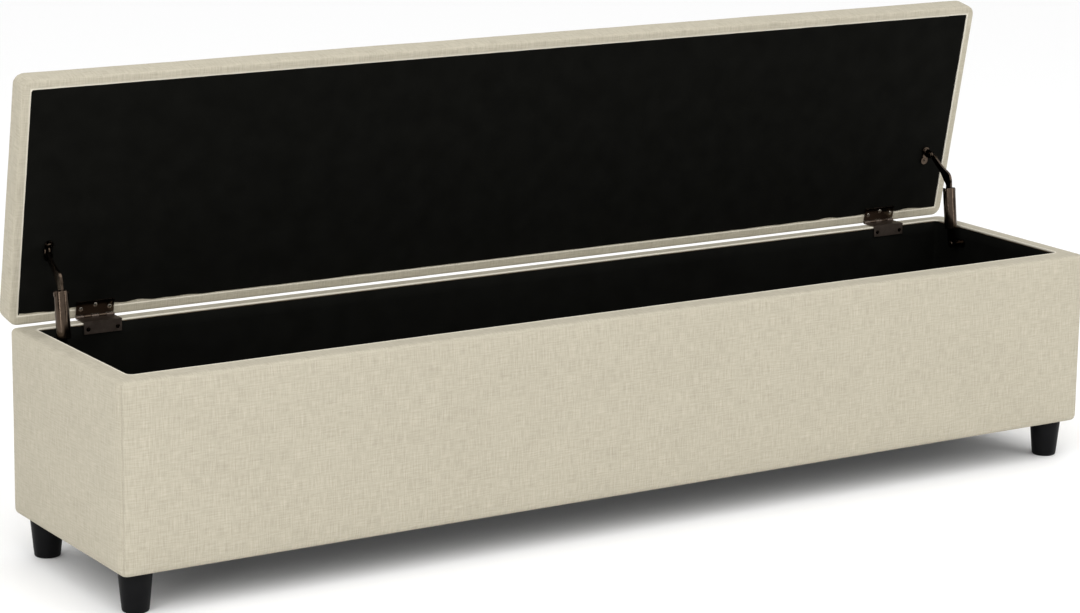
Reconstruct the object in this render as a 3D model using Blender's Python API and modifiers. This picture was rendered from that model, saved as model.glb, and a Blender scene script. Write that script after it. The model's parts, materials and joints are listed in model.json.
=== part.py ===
"""Upholstered storage bench: a long padded box on four feet, with a padded lid that hinges at the
rear on two butt hinges and is held open by two folding spring stays.

Metres, +Z up, +X along the bench, front towards -Y. The origin is on the floor, below the middle
of the bench as it stands with its lid open. The lid is modelled open, as it rests.
"""

import math

import bmesh
import bpy
from mathutils import Vector

# ---------------------------------------------------------------- driving dimensions
LENGTH = 1.800
DEPTH = 0.392
FOOT_HEIGHT = 0.063
BOX_HEIGHT = 0.2905
BOX_CENTRE_Y = -0.0227

SIDE_WALL = 0.032
FRONT_WALL = 0.038
REAR_WALL = 0.0295
PANEL = 0.018
COVER = 0.003
LINING = 0.0015
GAP = 0.0003
# How far a cutter runs past what it cuts, and how close two points are to be merged into one.
OVERRUN = 0.1
MERGE_DISTANCE = 0.00001
# Edges flatter than the first angle are taken out of a plate; edges under the second look smooth.
FLAT_ANGLE = 0.001
SMOOTH_ANGLE = math.radians(35.0)

CORNER_RADIUS = 0.012
RIM_RADIUS = 0.006
BOTTOM_HEM = 0.028
SMALL_EDGE = 0.001

FLOOR_BOARD = 0.012
BLOCK_SIZE = 0.070
BLOCK_HEIGHT = 0.0234

FOOT_INSET_X = 0.039
FOOT_INSET_Y = 0.041
FOOT_TOP_RADIUS = 0.026
FOOT_BOTTOM_RADIUS = 0.0203
BOLT_RADIUS = 0.004
BOLT_LENGTH = 0.042
BOLT_DEPTH_IN_FOOT = 0.022

LID_THICKNESS = 0.047
LID_BOARD = 0.015
LID_HEM = 0.015
LID_UNDERSIDE = 0.002
LID_BOTTOM_RADIUS = 0.004
LID_OPEN_ANGLE = math.radians(79.0)

# The hinge pin runs along X. It stands above the rim and just inside the rear face.
PIN_HEIGHT = 0.003
PIN_FROM_REAR = 0.002
PIN_RADIUS = 0.0012
PIN_BORE = 0.0015
KNUCKLE_RADIUS = 0.0027
KNUCKLES = 5
HINGE_X = 0.758
HINGE_WIDTH = 0.063
LEAF = 0.0017
LID_LEAF_REACH = 0.025
BODY_LEAF_DROP = 0.0175
SCREW_HEAD_RADIUS = 0.0034
SCREW_SHANK_RADIUS = 0.0016
LID_SCREW_LENGTH = 0.013
BODY_SCREW_LENGTH = 0.016

# The stays work in an upright plane near each end wall. Their pivots are given as (forward, up)
# from the hinge pin: on the end wall, on the closed lid, and the elbow as the lid stands open.
STAY_X = 0.850
WALL_PIVOT = Vector((0.0930, -0.0330))
LID_PIVOT_CLOSED = Vector((0.1195, -0.0065))
ELBOW = Vector((0.0810, 0.0605))
TUBE_RADIUS = 0.011
TUBE_BORE = 0.0096
TUBE_MOUTH = 0.0045
TUBE_END = 0.0263
TUBE_END_WALL = 0.002
TAB_THICKNESS = 0.003
ARM_THICKNESS = 0.004
ARM_SIDE_PLAY = 0.0005
PIVOT_RADIUS = 0.0025
PIVOT_HOLE = PIVOT_RADIUS + GAP
RIVET_HEAD = 0.0015
BRACKET_THICKNESS = 0.002
BRACKET_RING_RADIUS = 0.0072
BRACKET_SCREW_HOLE = 0.0022
CAM_RADIUS = 0.0062
CAM_LIFT = 0.002
ELBOW_TURN = math.radians(123.0)

# Turns that lay a turned piece's axis along X, and stand a flat plate up across X.
ALONG_X = (0, math.pi / 2, 0)
ACROSS_X = (math.pi / 2, 0, math.pi / 2)

HALF_LENGTH = LENGTH / 2
FRONT_Y = BOX_CENTRE_Y - DEPTH / 2
REAR_Y = BOX_CENTRE_Y + DEPTH / 2
BASE_Z = FOOT_HEIGHT
RIM_Z = FOOT_HEIGHT + BOX_HEIGHT
PANEL_BOTTOM = BASE_Z + COVER + GAP
PANEL_TOP = RIM_Z - COVER - GAP
INSIDE_X = HALF_LENGTH - SIDE_WALL
INSIDE_FRONT = FRONT_Y + FRONT_WALL
INSIDE_REAR = REAR_Y - REAR_WALL
BOARD_Z = PANEL_BOTTOM + BLOCK_HEIGHT + GAP
PIN = Vector((0.0, REAR_Y - PIN_FROM_REAR, RIM_Z + PIN_HEIGHT))

# ---------------------------------------------------------------- looks of the sub-parts
FABRIC = ("linen", (0.60, 0.56, 0.46), 0.90, 0.0)
WADDING = ("wadding", (0.85, 0.85, 0.82), 0.95, 0.0)
BLACK_CLOTH = ("black_lining", (0.012, 0.012, 0.013), 0.85, 0.0)
BOARD = ("board", (0.55, 0.40, 0.24), 0.70, 0.0)
BLACK_FOOT = ("black_foot", (0.015, 0.015, 0.016), 0.40, 0.0)
BRONZE = ("bronze_steel", (0.19, 0.15, 0.12), 0.38, 1.0)
STEEL = ("zinc_steel", (0.60, 0.60, 0.58), 0.35, 1.0)


def clear_scene():
    for obj in list(bpy.data.objects):
        bpy.data.objects.remove(obj, do_unlink=True)


def new_collection(name):
    collection = bpy.data.collections.new(name)
    bpy.context.scene.collection.children.link(collection)
    return collection


clear_scene()
PARTS = new_collection("storage_bench")
CUTTERS = new_collection("cutters")


# ---------------------------------------------------------------- helpers
def material_for(name, look):
    label, colour, roughness, metallic = look
    material = bpy.data.materials.new(f"{name}_{label}")
    material.use_nodes = True
    shader = material.node_tree.nodes["Principled BSDF"]
    shader.inputs["Base Color"].default_value = (*colour, 1.0)
    shader.inputs["Roughness"].default_value = roughness
    shader.inputs["Metallic"].default_value = metallic
    return material


def add_object(name, mesh, look=None, location=(0, 0, 0), rotation=(0, 0, 0), parent=None):
    """A part where it has a look, and a cutter where it has none."""
    obj = bpy.data.objects.new(name, mesh)
    obj.location = location
    obj.rotation_euler = rotation
    obj.parent = parent
    if look:
        PARTS.objects.link(obj)
        mesh.materials.append(material_for(name, look))
    else:
        CUTTERS.objects.link(obj)
        obj.hide_render = True
        obj.display_type = "WIRE"
    return obj


def add_empty(name, location, angle=0.0, parent=None):
    """An axis along X. A positive angle turns it the way the lid opens."""
    empty = bpy.data.objects.new(name, None)
    empty.empty_display_size = 0.03
    empty.location = location
    empty.rotation_euler = (-angle, 0, 0)
    empty.parent = parent
    PARTS.objects.link(empty)
    return empty


def cube_in(low, high):
    """A bmesh box between two corners, about its own centre, and that centre."""
    low, high = Vector(low), Vector(high)
    box = bmesh.new()
    bmesh.ops.create_cube(box, size=1.0)
    bmesh.ops.scale(box, vec=high - low, verts=box.verts)
    return box, (low + high) / 2


def finish_mesh(name, shape):
    mesh = bpy.data.meshes.new(name)
    shape.to_mesh(mesh)
    shape.free()
    mesh.shade_smooth()
    mesh.set_sharp_from_angle(angle=SMOOTH_ANGLE)
    return mesh


def box(name, low, high, look=None, parent=None):
    shape, centre = cube_in(low, high)
    return add_object(name, finish_mesh(name, shape), look, centre, parent=parent)


def round_edges(shape, chosen, radius, segments):
    edges = [edge for edge in shape.edges if chosen(edge)]
    bmesh.ops.bevel(shape, geom=edges, offset=radius, segments=segments, profile=0.5, affect="EDGES")


def rounded_box(name, low, high, upright, top, bottom, look=None, parent=None, segments=2):
    """A box with its upright edges, its top edges and its bottom edges rounded by three radii."""
    shape, centre = cube_in(low, high)
    half = (Vector(high) - Vector(low)) / 2

    def is_upright(edge):
        return abs(edge.verts[0].co.z - edge.verts[1].co.z) > half.z

    def lies_at(level):
        return lambda edge: all(abs(vert.co.z - level) < MERGE_DISTANCE for vert in edge.verts)

    round_edges(shape, is_upright, upright, segments)
    round_edges(shape, lies_at(half.z), top, segments)
    if bottom > 0:
        round_edges(shape, lies_at(-half.z), bottom, segments)
    return add_object(name, finish_mesh(name, shape), look, centre, parent=parent)


def cylinder(name, start, end, radius, look=None, parent=None, sides=20):
    """A round bar between two points."""
    start, end = Vector(start), Vector(end)
    shape = bmesh.new()
    bmesh.ops.create_cone(
        shape, cap_ends=True, segments=sides, radius1=radius, radius2=radius, depth=(end - start).length
    )
    turn = (end - start).to_track_quat("Z", "Y").to_euler()
    return add_object(name, finish_mesh(name, shape), look, (start + end) / 2, turn, parent)


def turned(name, profile, look=None, location=(0, 0, 0), rotation=(0, 0, 0), parent=None, steps=20):
    """A solid turned about its own Z axis. The profile is (radius, height), top to bottom."""
    mesh = bpy.data.meshes.new(name)
    edges = [(index, index + 1) for index in range(len(profile) - 1)]
    mesh.from_pydata([(radius, 0.0, height) for radius, height in profile], edges, [])
    obj = add_object(name, mesh, look, location, rotation, parent)
    screw = obj.modifiers.new("turn", "SCREW")
    screw.angle = math.tau
    screw.steps = steps
    screw.render_steps = steps
    screw.use_merge_vertices = True
    screw.merge_threshold = MERGE_DISTANCE
    return obj


def cut(target, cutter, operation="DIFFERENCE"):
    boolean = target.modifiers.new(cutter.name, "BOOLEAN")
    boolean.operation = operation
    boolean.object = cutter
    boolean.solver = "EXACT"


def join(target, cutter):
    cut(target, cutter, "UNION")


def plate(name, outline, thickness, look=None, location=(0, 0, 0), rotation=(0, 0, 0), parent=None):
    """A flat plate. Its outline lies in its own XY plane and its thickness is centred on it."""
    curve = bpy.data.curves.new(name, "CURVE")
    curve.dimensions = "2D"
    curve.fill_mode = "BOTH"
    curve.extrude = thickness / 2
    spline = curve.splines.new("POLY")
    spline.points.add(len(outline) - 1)
    for point, (x, y) in zip(spline.points, outline):
        point.co = (x, y, 0.0, 1.0)
    spline.use_cyclic_u = True
    guide = bpy.data.objects.new(name + "_outline", curve)
    CUTTERS.objects.link(guide)
    mesh = bpy.data.meshes.new_from_object(guide.evaluated_get(bpy.context.evaluated_depsgraph_get()))
    bpy.data.objects.remove(guide, do_unlink=True)
    shape = bmesh.new()
    shape.from_mesh(mesh)
    bpy.data.meshes.remove(mesh)
    bmesh.ops.remove_doubles(shape, verts=shape.verts, dist=MERGE_DISTANCE)
    bmesh.ops.dissolve_limit(shape, angle_limit=FLAT_ANGLE, verts=shape.verts, edges=shape.edges)
    bmesh.ops.recalc_face_normals(shape, faces=shape.faces)
    return add_object(name, finish_mesh(name, shape), look, location, rotation, parent)


def arc(centre, radius, start, end, steps):
    """Points on a circle from one angle to another, in degrees."""
    points = []
    for step in range(steps + 1):
        angle = math.radians(start + (end - start) * step / steps)
        points.append((centre[0] + radius * math.cos(angle), centre[1] + radius * math.sin(angle)))
    return points


# ---------------------------------------------------------------- box
def make_panels():
    """Four wall panels; the end panels stand between the front and the rear one."""
    outside_x = INSIDE_X + LINING + GAP + PANEL
    front = INSIDE_FRONT - LINING - GAP
    rear = INSIDE_REAR + LINING + GAP
    box("front_panel", (-outside_x, front - PANEL, PANEL_BOTTOM), (outside_x, front, PANEL_TOP), BOARD)
    box("rear_panel", (-outside_x, rear, PANEL_BOTTOM), (outside_x, rear + PANEL, PANEL_TOP), BOARD)
    inner_x = outside_x - PANEL
    for side, name in ((-1, "left_end_panel"), (1, "right_end_panel")):
        low_x, high_x = sorted((side * inner_x, side * outside_x))
        box(name, (low_x, front + GAP, PANEL_BOTTOM), (high_x, rear - GAP, PANEL_TOP), BOARD)


def make_floor():
    """The bottom board on four corner blocks, which the feet bolt into."""
    side_x = INSIDE_X + LINING
    front = INSIDE_FRONT - LINING
    rear = INSIDE_REAR + LINING
    box("bottom_board", (-side_x, front, BOARD_Z), (side_x, rear, BOARD_Z + FLOOR_BOARD), BOARD)
    for x_side, x_name in ((-1, "left"), (1, "right")):
        for y_edge, y_side, y_name in ((front, 1, "front"), (rear, -1, "rear")):
            low_x, high_x = sorted((x_side * side_x, x_side * (side_x - BLOCK_SIZE)))
            low_y, high_y = sorted((y_edge, y_edge + y_side * BLOCK_SIZE))
            block = box(
                f"corner_block_{y_name}_{x_name}",
                (low_x, low_y, PANEL_BOTTOM),
                (high_x, high_y, PANEL_BOTTOM + BLOCK_HEIGHT),
                BOARD,
            )
            x, y = foot_place(x_side, y_side)
            hole = cylinder(
                f"bolt_hole_{y_name}_{x_name}", (x, y, 0), (x, y, BOARD_Z), BOLT_RADIUS + GAP, sides=16
            )
            cut(block, hole)


def foot_place(x_side, y_side):
    """Where a foot stands: y_side is 1 at the front and -1 at the rear."""
    x = x_side * (HALF_LENGTH - FOOT_INSET_X)
    y = FRONT_Y + FOOT_INSET_Y if y_side > 0 else REAR_Y - FOOT_INSET_Y
    return x, y


def make_feet():
    top = FOOT_HEIGHT - GAP
    hole = BOLT_RADIUS + GAP
    edge = 0.002
    foot_profile = [
        (0.0, top - BOLT_DEPTH_IN_FOOT),
        (hole, top - BOLT_DEPTH_IN_FOOT),
        (hole, top),
        (FOOT_TOP_RADIUS - edge / 2, top),
        (FOOT_TOP_RADIUS, top - edge / 2),
        (FOOT_BOTTOM_RADIUS, edge),
        (FOOT_BOTTOM_RADIUS - edge, 0.0),
        (0.0, 0.0),
    ]
    low = top - BOLT_DEPTH_IN_FOOT + GAP
    chamfer = SMALL_EDGE
    bolt_profile = [
        (0.0, low + BOLT_LENGTH),
        (BOLT_RADIUS - chamfer, low + BOLT_LENGTH),
        (BOLT_RADIUS, low + BOLT_LENGTH - chamfer),
        (BOLT_RADIUS, low + chamfer),
        (BOLT_RADIUS - chamfer, low),
        (0.0, low),
    ]
    for x_side, x_name in ((-1, "left"), (1, "right")):
        for y_side, y_name in ((1, "front"), (-1, "rear")):
            x, y = foot_place(x_side, y_side)
            turned(f"foot_{y_name}_{x_name}", foot_profile, BLACK_FOOT, (x, y, 0), steps=24)
            turned(f"foot_bolt_{y_name}_{x_name}", bolt_profile, STEEL, (x, y, 0), steps=12)


def make_body_upholstery():
    """Wadding round the panels, the cloth cover over it, the black lining and the dust cover."""
    low = Vector((-HALF_LENGTH, FRONT_Y, BASE_Z))
    high = Vector((HALF_LENGTH, REAR_Y, RIM_Z))
    shell = Vector((COVER, COVER, COVER))
    gap = Vector((GAP, GAP, GAP))

    overrun = Vector((0, 0, OVERRUN))
    inner_corner = CORNER_RADIUS - COVER
    inner_rim = RIM_RADIUS - COVER

    cover = rounded_box("body_cover", low, high, CORNER_RADIUS, RIM_RADIUS, RIM_RADIUS, FABRIC)
    cavity = rounded_box("cover_cavity", low + shell, high - shell, inner_corner, inner_rim, inner_rim)
    mouth = box(
        "cover_mouth", (-INSIDE_X, INSIDE_FRONT, BASE_Z + OVERRUN), (INSIDE_X, INSIDE_REAR, RIM_Z + OVERRUN)
    )
    hem = Vector((BOTTOM_HEM, BOTTOM_HEM, 0))
    bottom = box("cover_bottom", low + hem - overrun, Vector((high.x, high.y, BASE_Z)) + overrun - hem)
    for cutter in (cavity, mouth, bottom):
        cut(cover, cutter)

    padding = rounded_box(
        "body_padding",
        low + shell + gap,
        high - shell - gap,
        inner_corner - GAP,
        inner_rim - GAP,
        inner_rim - GAP,
        WADDING,
    )
    panels_x = INSIDE_X + LINING + 2 * GAP + PANEL
    panels_front = INSIDE_FRONT - LINING - 2 * GAP - PANEL
    panels_rear = INSIDE_REAR + LINING + 2 * GAP + PANEL
    core = box("padding_core", (-panels_x, panels_front, 0), (panels_x, panels_rear, RIM_Z + OVERRUN))
    cut(padding, core)

    floor_z = BOARD_Z + FLOOR_BOARD + GAP
    lining = box(
        "storage_lining",
        (-INSIDE_X - LINING, INSIDE_FRONT - LINING, floor_z),
        (INSIDE_X + LINING, INSIDE_REAR + LINING, PANEL_TOP),
        BLACK_CLOTH,
    )
    storage = box(
        "storage_space",
        (-INSIDE_X, INSIDE_FRONT, floor_z + LINING),
        (INSIDE_X, INSIDE_REAR, RIM_Z + OVERRUN),
    )
    cut(lining, storage)

    inset = BOTTOM_HEM + GAP
    dust = box(
        "dust_cover",
        (-HALF_LENGTH + inset, FRONT_Y + inset, BASE_Z + GAP),
        (HALF_LENGTH - inset, REAR_Y - inset, BASE_Z + GAP + LINING),
        BLACK_CLOTH,
    )
    for x_side in (-1, 1):
        for y_side in (1, -1):
            x, y = foot_place(x_side, y_side)
            hole = cylinder(
                f"dust_hole_{x_side}_{y_side}", (x, y, 0), (x, y, BOARD_Z), BOLT_RADIUS + GAP, sides=16
            )
            cut(dust, hole)


# ---------------------------------------------------------------- lid
def make_lid(lid_axis):
    """The padded lid, drawn closed in the frame of the hinge pin: -Y is forward, +Z is up."""
    rear = PIN_FROM_REAR
    front = rear - DEPTH
    under = PIN_HEIGHT
    top = under + LID_THICKNESS
    low = Vector((-HALF_LENGTH, front, under))
    high = Vector((HALF_LENGTH, rear, top))
    shell = Vector((COVER, COVER, 0))
    lower = Vector((0, 0, LID_UNDERSIDE))
    upper = Vector((0, 0, COVER))

    cover = rounded_box(
        "lid_cover", low, high, CORNER_RADIUS, CORNER_RADIUS, LID_BOTTOM_RADIUS, FABRIC, lid_axis
    )
    cavity = rounded_box(
        "lid_cavity",
        low + shell + lower,
        high - shell - upper,
        CORNER_RADIUS - COVER,
        CORNER_RADIUS - COVER,
        LID_BOTTOM_RADIUS - LID_UNDERSIDE,
        parent=lid_axis,
    )
    hem = Vector((LID_HEM, LID_HEM, 0))
    mouth = box(
        "lid_mouth",
        low + hem - Vector((0, 0, LID_BOARD)),
        Vector((high.x, high.y, under + LID_BOARD)) - hem,
        parent=lid_axis,
    )
    cut(cover, cavity)
    cut(cover, mouth)

    seam = Vector((LID_HEM + GAP, LID_HEM + GAP, 0))
    lining = box(
        "lid_lining",
        low + seam,
        Vector((high.x, high.y, under + LID_UNDERSIDE)) - seam,
        BLACK_CLOTH,
        lid_axis,
    )

    inset = Vector((COVER + GAP, COVER + GAP, 0))
    board_z = under + LID_UNDERSIDE + GAP
    board = rounded_box(
        "lid_board",
        Vector((low.x, low.y, board_z)) + inset,
        Vector((high.x, high.y, board_z + LID_BOARD)) - inset,
        CORNER_RADIUS - COVER - GAP,
        SMALL_EDGE,
        LID_BOTTOM_RADIUS - LID_UNDERSIDE,
        BOARD,
        lid_axis,
    )
    foam_z = board_z + LID_BOARD + GAP
    rounded_box(
        "lid_foam",
        Vector((low.x, low.y, foam_z)) + inset,
        Vector((high.x, high.y, top - COVER - GAP)) - inset,
        CORNER_RADIUS - COVER - GAP,
        CORNER_RADIUS - COVER - GAP,
        SMALL_EDGE,
        WADDING,
        lid_axis,
    )
    return cover, lining, board


# ---------------------------------------------------------------- hinges
def screw_profile(length, extra=0.0):
    """A countersunk wood screw, its flat head at the top; extra makes it the hole instead."""
    hole_overrun = 0.005
    head = SCREW_HEAD_RADIUS + extra
    shank = SCREW_SHANK_RADIUS + extra
    slope = SCREW_HEAD_RADIUS - SCREW_SHANK_RADIUS
    above = hole_overrun if extra else 0.0
    return [
        (0.0, above),
        (head, above),
        (head, -extra),
        (shank, -extra - slope),
        (shank, -length + shank - extra),
        (0.0, -length - extra),
    ]


def add_screw(name, head, direction, length, targets, parent=None):
    """A screw whose head lies at a point and faces a direction, and its hole in each target."""
    turn = Vector(direction).to_track_quat("Z", "Y").to_euler()
    turned(name, screw_profile(length), BRONZE, head, turn, parent, steps=10)
    hole = turned(name + "_hole", screw_profile(length, GAP), None, head, turn, parent, steps=10)
    for target in targets:
        cut(target, hole)


def knuckle_spans(odd):
    """The stretches of the hinge's width that one leaf's knuckles take, from its middle."""
    pitch = HINGE_WIDTH / KNUCKLES
    start = -HINGE_WIDTH / 2
    chosen = [index for index in range(KNUCKLES) if index % 2 == (1 if odd else 0)]
    return [(start + index * pitch, start + (index + 1) * pitch) for index in chosen]


def make_leaf(name, x, low, high, other_spans, parent):
    """A leaf plate with its knuckles, drawn in the frame of the hinge pin."""
    half = HINGE_WIDTH / 2
    leaf = box(name, (x - half, *low), (x + half, *high), BRONZE, parent)
    barrel = cylinder(
        name + "_barrel", (x - half, 0, 0), (x + half, 0, 0), KNUCKLE_RADIUS, parent=parent, sides=16
    )
    join(leaf, barrel)
    clearance = KNUCKLE_RADIUS + GAP
    past_end = HINGE_WIDTH / KNUCKLES
    for index, (start, end) in enumerate(other_spans):
        before = past_end if start < -half + GAP else GAP
        after = past_end if end > half - GAP else GAP
        notch = box(
            f"{name}_notch_{index}",
            (x + start - before, -clearance, -clearance),
            (x + end + after, clearance, clearance),
            parent=parent,
        )
        cut(leaf, notch)
    return leaf


def bore_leaf(leaf, name, x, parent):
    bore = cylinder(
        name + "_bore", (x - HINGE_WIDTH, 0, 0), (x + HINGE_WIDTH, 0, 0), PIN_BORE, parent=parent, sides=12
    )
    cut(leaf, bore)


def make_hinges(lid_axis, pin_frame, lid_layers, wall_layers):
    """Two butt hinges. The body leaf folds over the rim and down the inside of the rear wall.

    The layers are what the screws of each leaf pass through.
    """
    half = HINGE_WIDTH / 2
    inner_y = INSIDE_REAR - PIN.y
    outer_hole, middle_hole = -0.0125, -0.0180
    lid_holes = ((-0.024, outer_hole), (0.0, middle_hole), (0.024, outer_hole))
    body_holes = (-0.0245, 0.0245)
    body_hole_drop = 0.010
    pin_head_radius, pin_head, pin_play = 0.0022, 0.001, 0.0004
    for side, name in ((-1, "left"), (1, "right")):
        x = side * HINGE_X
        lid_leaf = make_leaf(
            f"hinge_lid_leaf_{name}",
            x,
            (-LID_LEAF_REACH, KNUCKLE_RADIUS - LEAF),
            (0.0, KNUCKLE_RADIUS),
            knuckle_spans(odd=False),
            lid_axis,
        )
        bore_leaf(lid_leaf, f"hinge_lid_leaf_{name}", x, lid_axis)
        for index, (offset, y) in enumerate(lid_holes):
            add_screw(
                f"hinge_lid_screw_{name}_{index + 1}",
                (x + offset, y, KNUCKLE_RADIUS - LEAF),
                (0, 0, -1),
                LID_SCREW_LENGTH,
                (lid_leaf, *lid_layers),
                lid_axis,
            )

        body_leaf = make_leaf(
            f"hinge_body_leaf_{name}",
            x,
            (inner_y - GAP - LEAF, -KNUCKLE_RADIUS),
            (0.0, -KNUCKLE_RADIUS + LEAF),
            knuckle_spans(odd=True),
            pin_frame,
        )
        flange = box(
            f"hinge_flange_{name}",
            (x - half, inner_y - GAP - LEAF, -PIN_HEIGHT - BODY_LEAF_DROP),
            (x + half, inner_y - GAP, -KNUCKLE_RADIUS + LEAF / 2),
            parent=pin_frame,
        )
        join(body_leaf, flange)
        bore_leaf(body_leaf, f"hinge_body_leaf_{name}", x, pin_frame)
        screw_z = -PIN_HEIGHT - body_hole_drop
        for index, offset in enumerate(body_holes):
            add_screw(
                f"hinge_body_screw_{name}_{index + 1}",
                (x + offset, inner_y - GAP - LEAF, screw_z),
                (0, -1, 0),
                BODY_SCREW_LENGTH,
                (body_leaf, *wall_layers),
                pin_frame,
            )

        reach = half + pin_play
        pin_profile = [
            (0.0, reach + pin_head),
            (pin_head_radius, reach + pin_head),
            (pin_head_radius, reach),
            (PIN_RADIUS, reach),
            (PIN_RADIUS, -reach),
            (0.0, -reach),
        ]
        turned(f"hinge_pin_{name}", pin_profile, BRONZE, (x, 0, 0), ALONG_X, pin_frame, steps=12)


# ---------------------------------------------------------------- folding stays
def angle_of(vector):
    return math.atan2(vector.y, vector.x)


def turned_by(vector, angle):
    return Vector(
        (
            vector.x * math.cos(angle) - vector.y * math.sin(angle),
            vector.x * math.sin(angle) + vector.y * math.cos(angle),
        )
    )


LID_PIVOT_OPEN = turned_by(LID_PIVOT_CLOSED, LID_OPEN_ANGLE)
TUBE_LENGTH = (ELBOW - WALL_PIVOT).length
TUBE_ANGLE = angle_of(ELBOW - WALL_PIVOT)
ARM_LENGTH = (LID_PIVOT_OPEN - ELBOW).length
ARM_BEND = angle_of(LID_PIVOT_OPEN - ELBOW) - TUBE_ANGLE


def arm_outline():
    """The arm in the frame of the elbow: X is rearward, Y is along the tube, out of its mouth.

    Below, a cam whose radius grows evenly over the elbow's turn; above it a neck, which swells
    into a crescent as it bends back, and tapers to an eye at the lid's bracket.
    """
    eye = Vector((math.sin(ARM_BEND), math.cos(ARM_BEND))) * ARM_LENGTH
    bend_start, bend_radius, bend, bend_end = 0.008, 0.027, math.radians(46.5), 0.42
    neck_half_width, crescent, crescent_end = 0.0062, 0.0033, 0.62
    taper, taper_start = 0.0022, 0.31

    def centre_line(t):
        """Place, direction and half width at t, 0 at the neck to 1 at the eye."""
        half_width = neck_half_width + crescent * math.sin(math.pi * min(t / crescent_end, 1.0)) ** 2
        half_width -= taper * max(0.0, (t - taper_start) / (1 - taper_start))
        if t < bend_end:
            angle = bend * t / bend_end
            place = Vector(
                (bend_radius * (1 - math.cos(angle)), bend_start + bend_radius * math.sin(angle))
            )
            return place, angle, half_width
        corner = Vector((bend_radius * (1 - math.cos(bend)), bend_start + bend_radius * math.sin(bend)))
        along = eye - corner
        place = corner + along * (t - bend_end) / (1 - bend_end)
        return place, math.atan2(along.x, along.y), half_width

    rear_side, front_side = [], []
    steps = 14
    for step in range(steps + 1):
        place, angle, half_width = centre_line(step / steps)
        across = Vector((math.cos(angle), -math.sin(angle))) * half_width
        rear_side.append(place + across)
        front_side.append(place - across)

    end_angle = math.degrees(centre_line(1.0)[1])
    eye_radius = centre_line(1.0)[2]
    tip_start, tip_end = 20, 160
    tip = [Vector(point) for point in arc(eye, eye_radius, tip_start - end_angle, tip_end - end_angle, 6)]

    cam = []
    cam_steps = 18
    # The cam runs from one side of the neck round to the other, and is lowest straight down.
    first, last, lowest = math.radians(57), math.radians(300), math.pi
    for step in range(cam_steps + 1):
        angle = last + (first - last) * step / cam_steps
        spread = min(1.0, max(0.0, (lowest - angle) / ELBOW_TURN))
        radius = CAM_RADIUS + CAM_LIFT * spread
        cam.append(Vector((radius * math.sin(angle), radius * math.cos(angle))))
    outline = cam + rear_side + tip + list(reversed(front_side))
    return [(point.x, point.y) for point in outline]


def make_tube(name, frame):
    """The spring tube: its mouth beyond the elbow, and a flat tab to the wall pivot at its foot.

    The slot down its rear side is long enough for the arm to fold back through it.
    """
    slot_play, slot_front, slot_depth = 0.0006, 0.004, 0.0260
    tab_radius, tab_overlap = 0.0075, 0.001
    bottom = TUBE_END - TUBE_LENGTH
    beyond = 2 * TUBE_RADIUS
    tube = cylinder(
        f"stay_tube_{name}", (0, 0, bottom), (0, 0, TUBE_MOUTH), TUBE_RADIUS, BRONZE, frame, sides=24
    )
    bore = cylinder(
        f"tube_bore_{name}",
        (0, 0, bottom + TUBE_END_WALL),
        (0, 0, TUBE_MOUTH + beyond),
        TUBE_BORE,
        parent=frame,
        sides=24,
    )
    slot = box(
        f"tube_slot_{name}",
        (-ARM_THICKNESS / 2 - slot_play, slot_front, -slot_depth),
        (ARM_THICKNESS / 2 + slot_play, beyond, TUBE_MOUTH + beyond),
        parent=frame,
    )
    foot = -TUBE_LENGTH
    tab_outline = arc((0, foot), tab_radius, 0, -180, 12)
    tab_outline += [(-tab_radius, bottom + tab_overlap), (tab_radius, bottom + tab_overlap)]
    tab = plate(f"tube_tab_{name}", tab_outline, TAB_THICKNESS, None, (0, 0, 0), ACROSS_X, frame)
    pin_hole = cylinder(
        f"elbow_hole_{name}", (-beyond, 0, 0), (beyond, 0, 0), PIVOT_HOLE, parent=frame, sides=16
    )
    eye = cylinder(
        f"tab_eye_{name}", (-beyond, 0, foot), (beyond, 0, foot), PIVOT_HOLE, parent=frame, sides=16
    )
    cut(tube, bore)
    join(tube, tab)
    for cutter in (slot, pin_hole, eye):
        cut(tube, cutter)


def rivet(name, side, inner, outer, location, parent, head=RIVET_HEAD, outer_head=True):
    """A rivet along X, its shank from an inner to an outer face; outer is away from the middle."""
    head_radius = 0.0043
    flat_radius, rim = head_radius * 0.6, head * 0.4
    profile = [(0.0, outer)]
    if outer_head:
        profile = [
            (0.0, outer + head),
            (flat_radius, outer + head),
            (head_radius, outer + rim),
            (head_radius, outer),
        ]
    profile += [
        (PIVOT_RADIUS, outer),
        (PIVOT_RADIUS, inner),
        (head_radius, inner),
        (head_radius, inner - rim),
        (flat_radius, inner - head),
        (0.0, inner - head),
    ]
    turned(name, profile, BRONZE, location, (0, side * math.pi / 2, 0), parent, steps=12)


def make_spring(name, low, high, frame):
    """The coil spring under the plunger."""
    wire, radius, turns, per_turn = 0.0009, 0.0075, 6, 8
    curve = bpy.data.curves.new(name, "CURVE")
    curve.dimensions = "3D"
    curve.bevel_depth = wire
    curve.bevel_resolution = 2
    curve.use_fill_caps = True
    spline = curve.splines.new("POLY")
    count = turns * per_turn + 1
    spline.points.add(count - 1)
    for index, point in enumerate(spline.points):
        angle = math.tau * index / per_turn
        height = low + wire + (high - low - 2 * wire) * index / (count - 1)
        point.co = (radius * math.cos(angle), radius * math.sin(angle), height, 1.0)
    spring = bpy.data.objects.new(name, curve)
    spring.parent = frame
    PARTS.objects.link(spring)
    curve.materials.append(material_for(name, STEEL))


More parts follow.
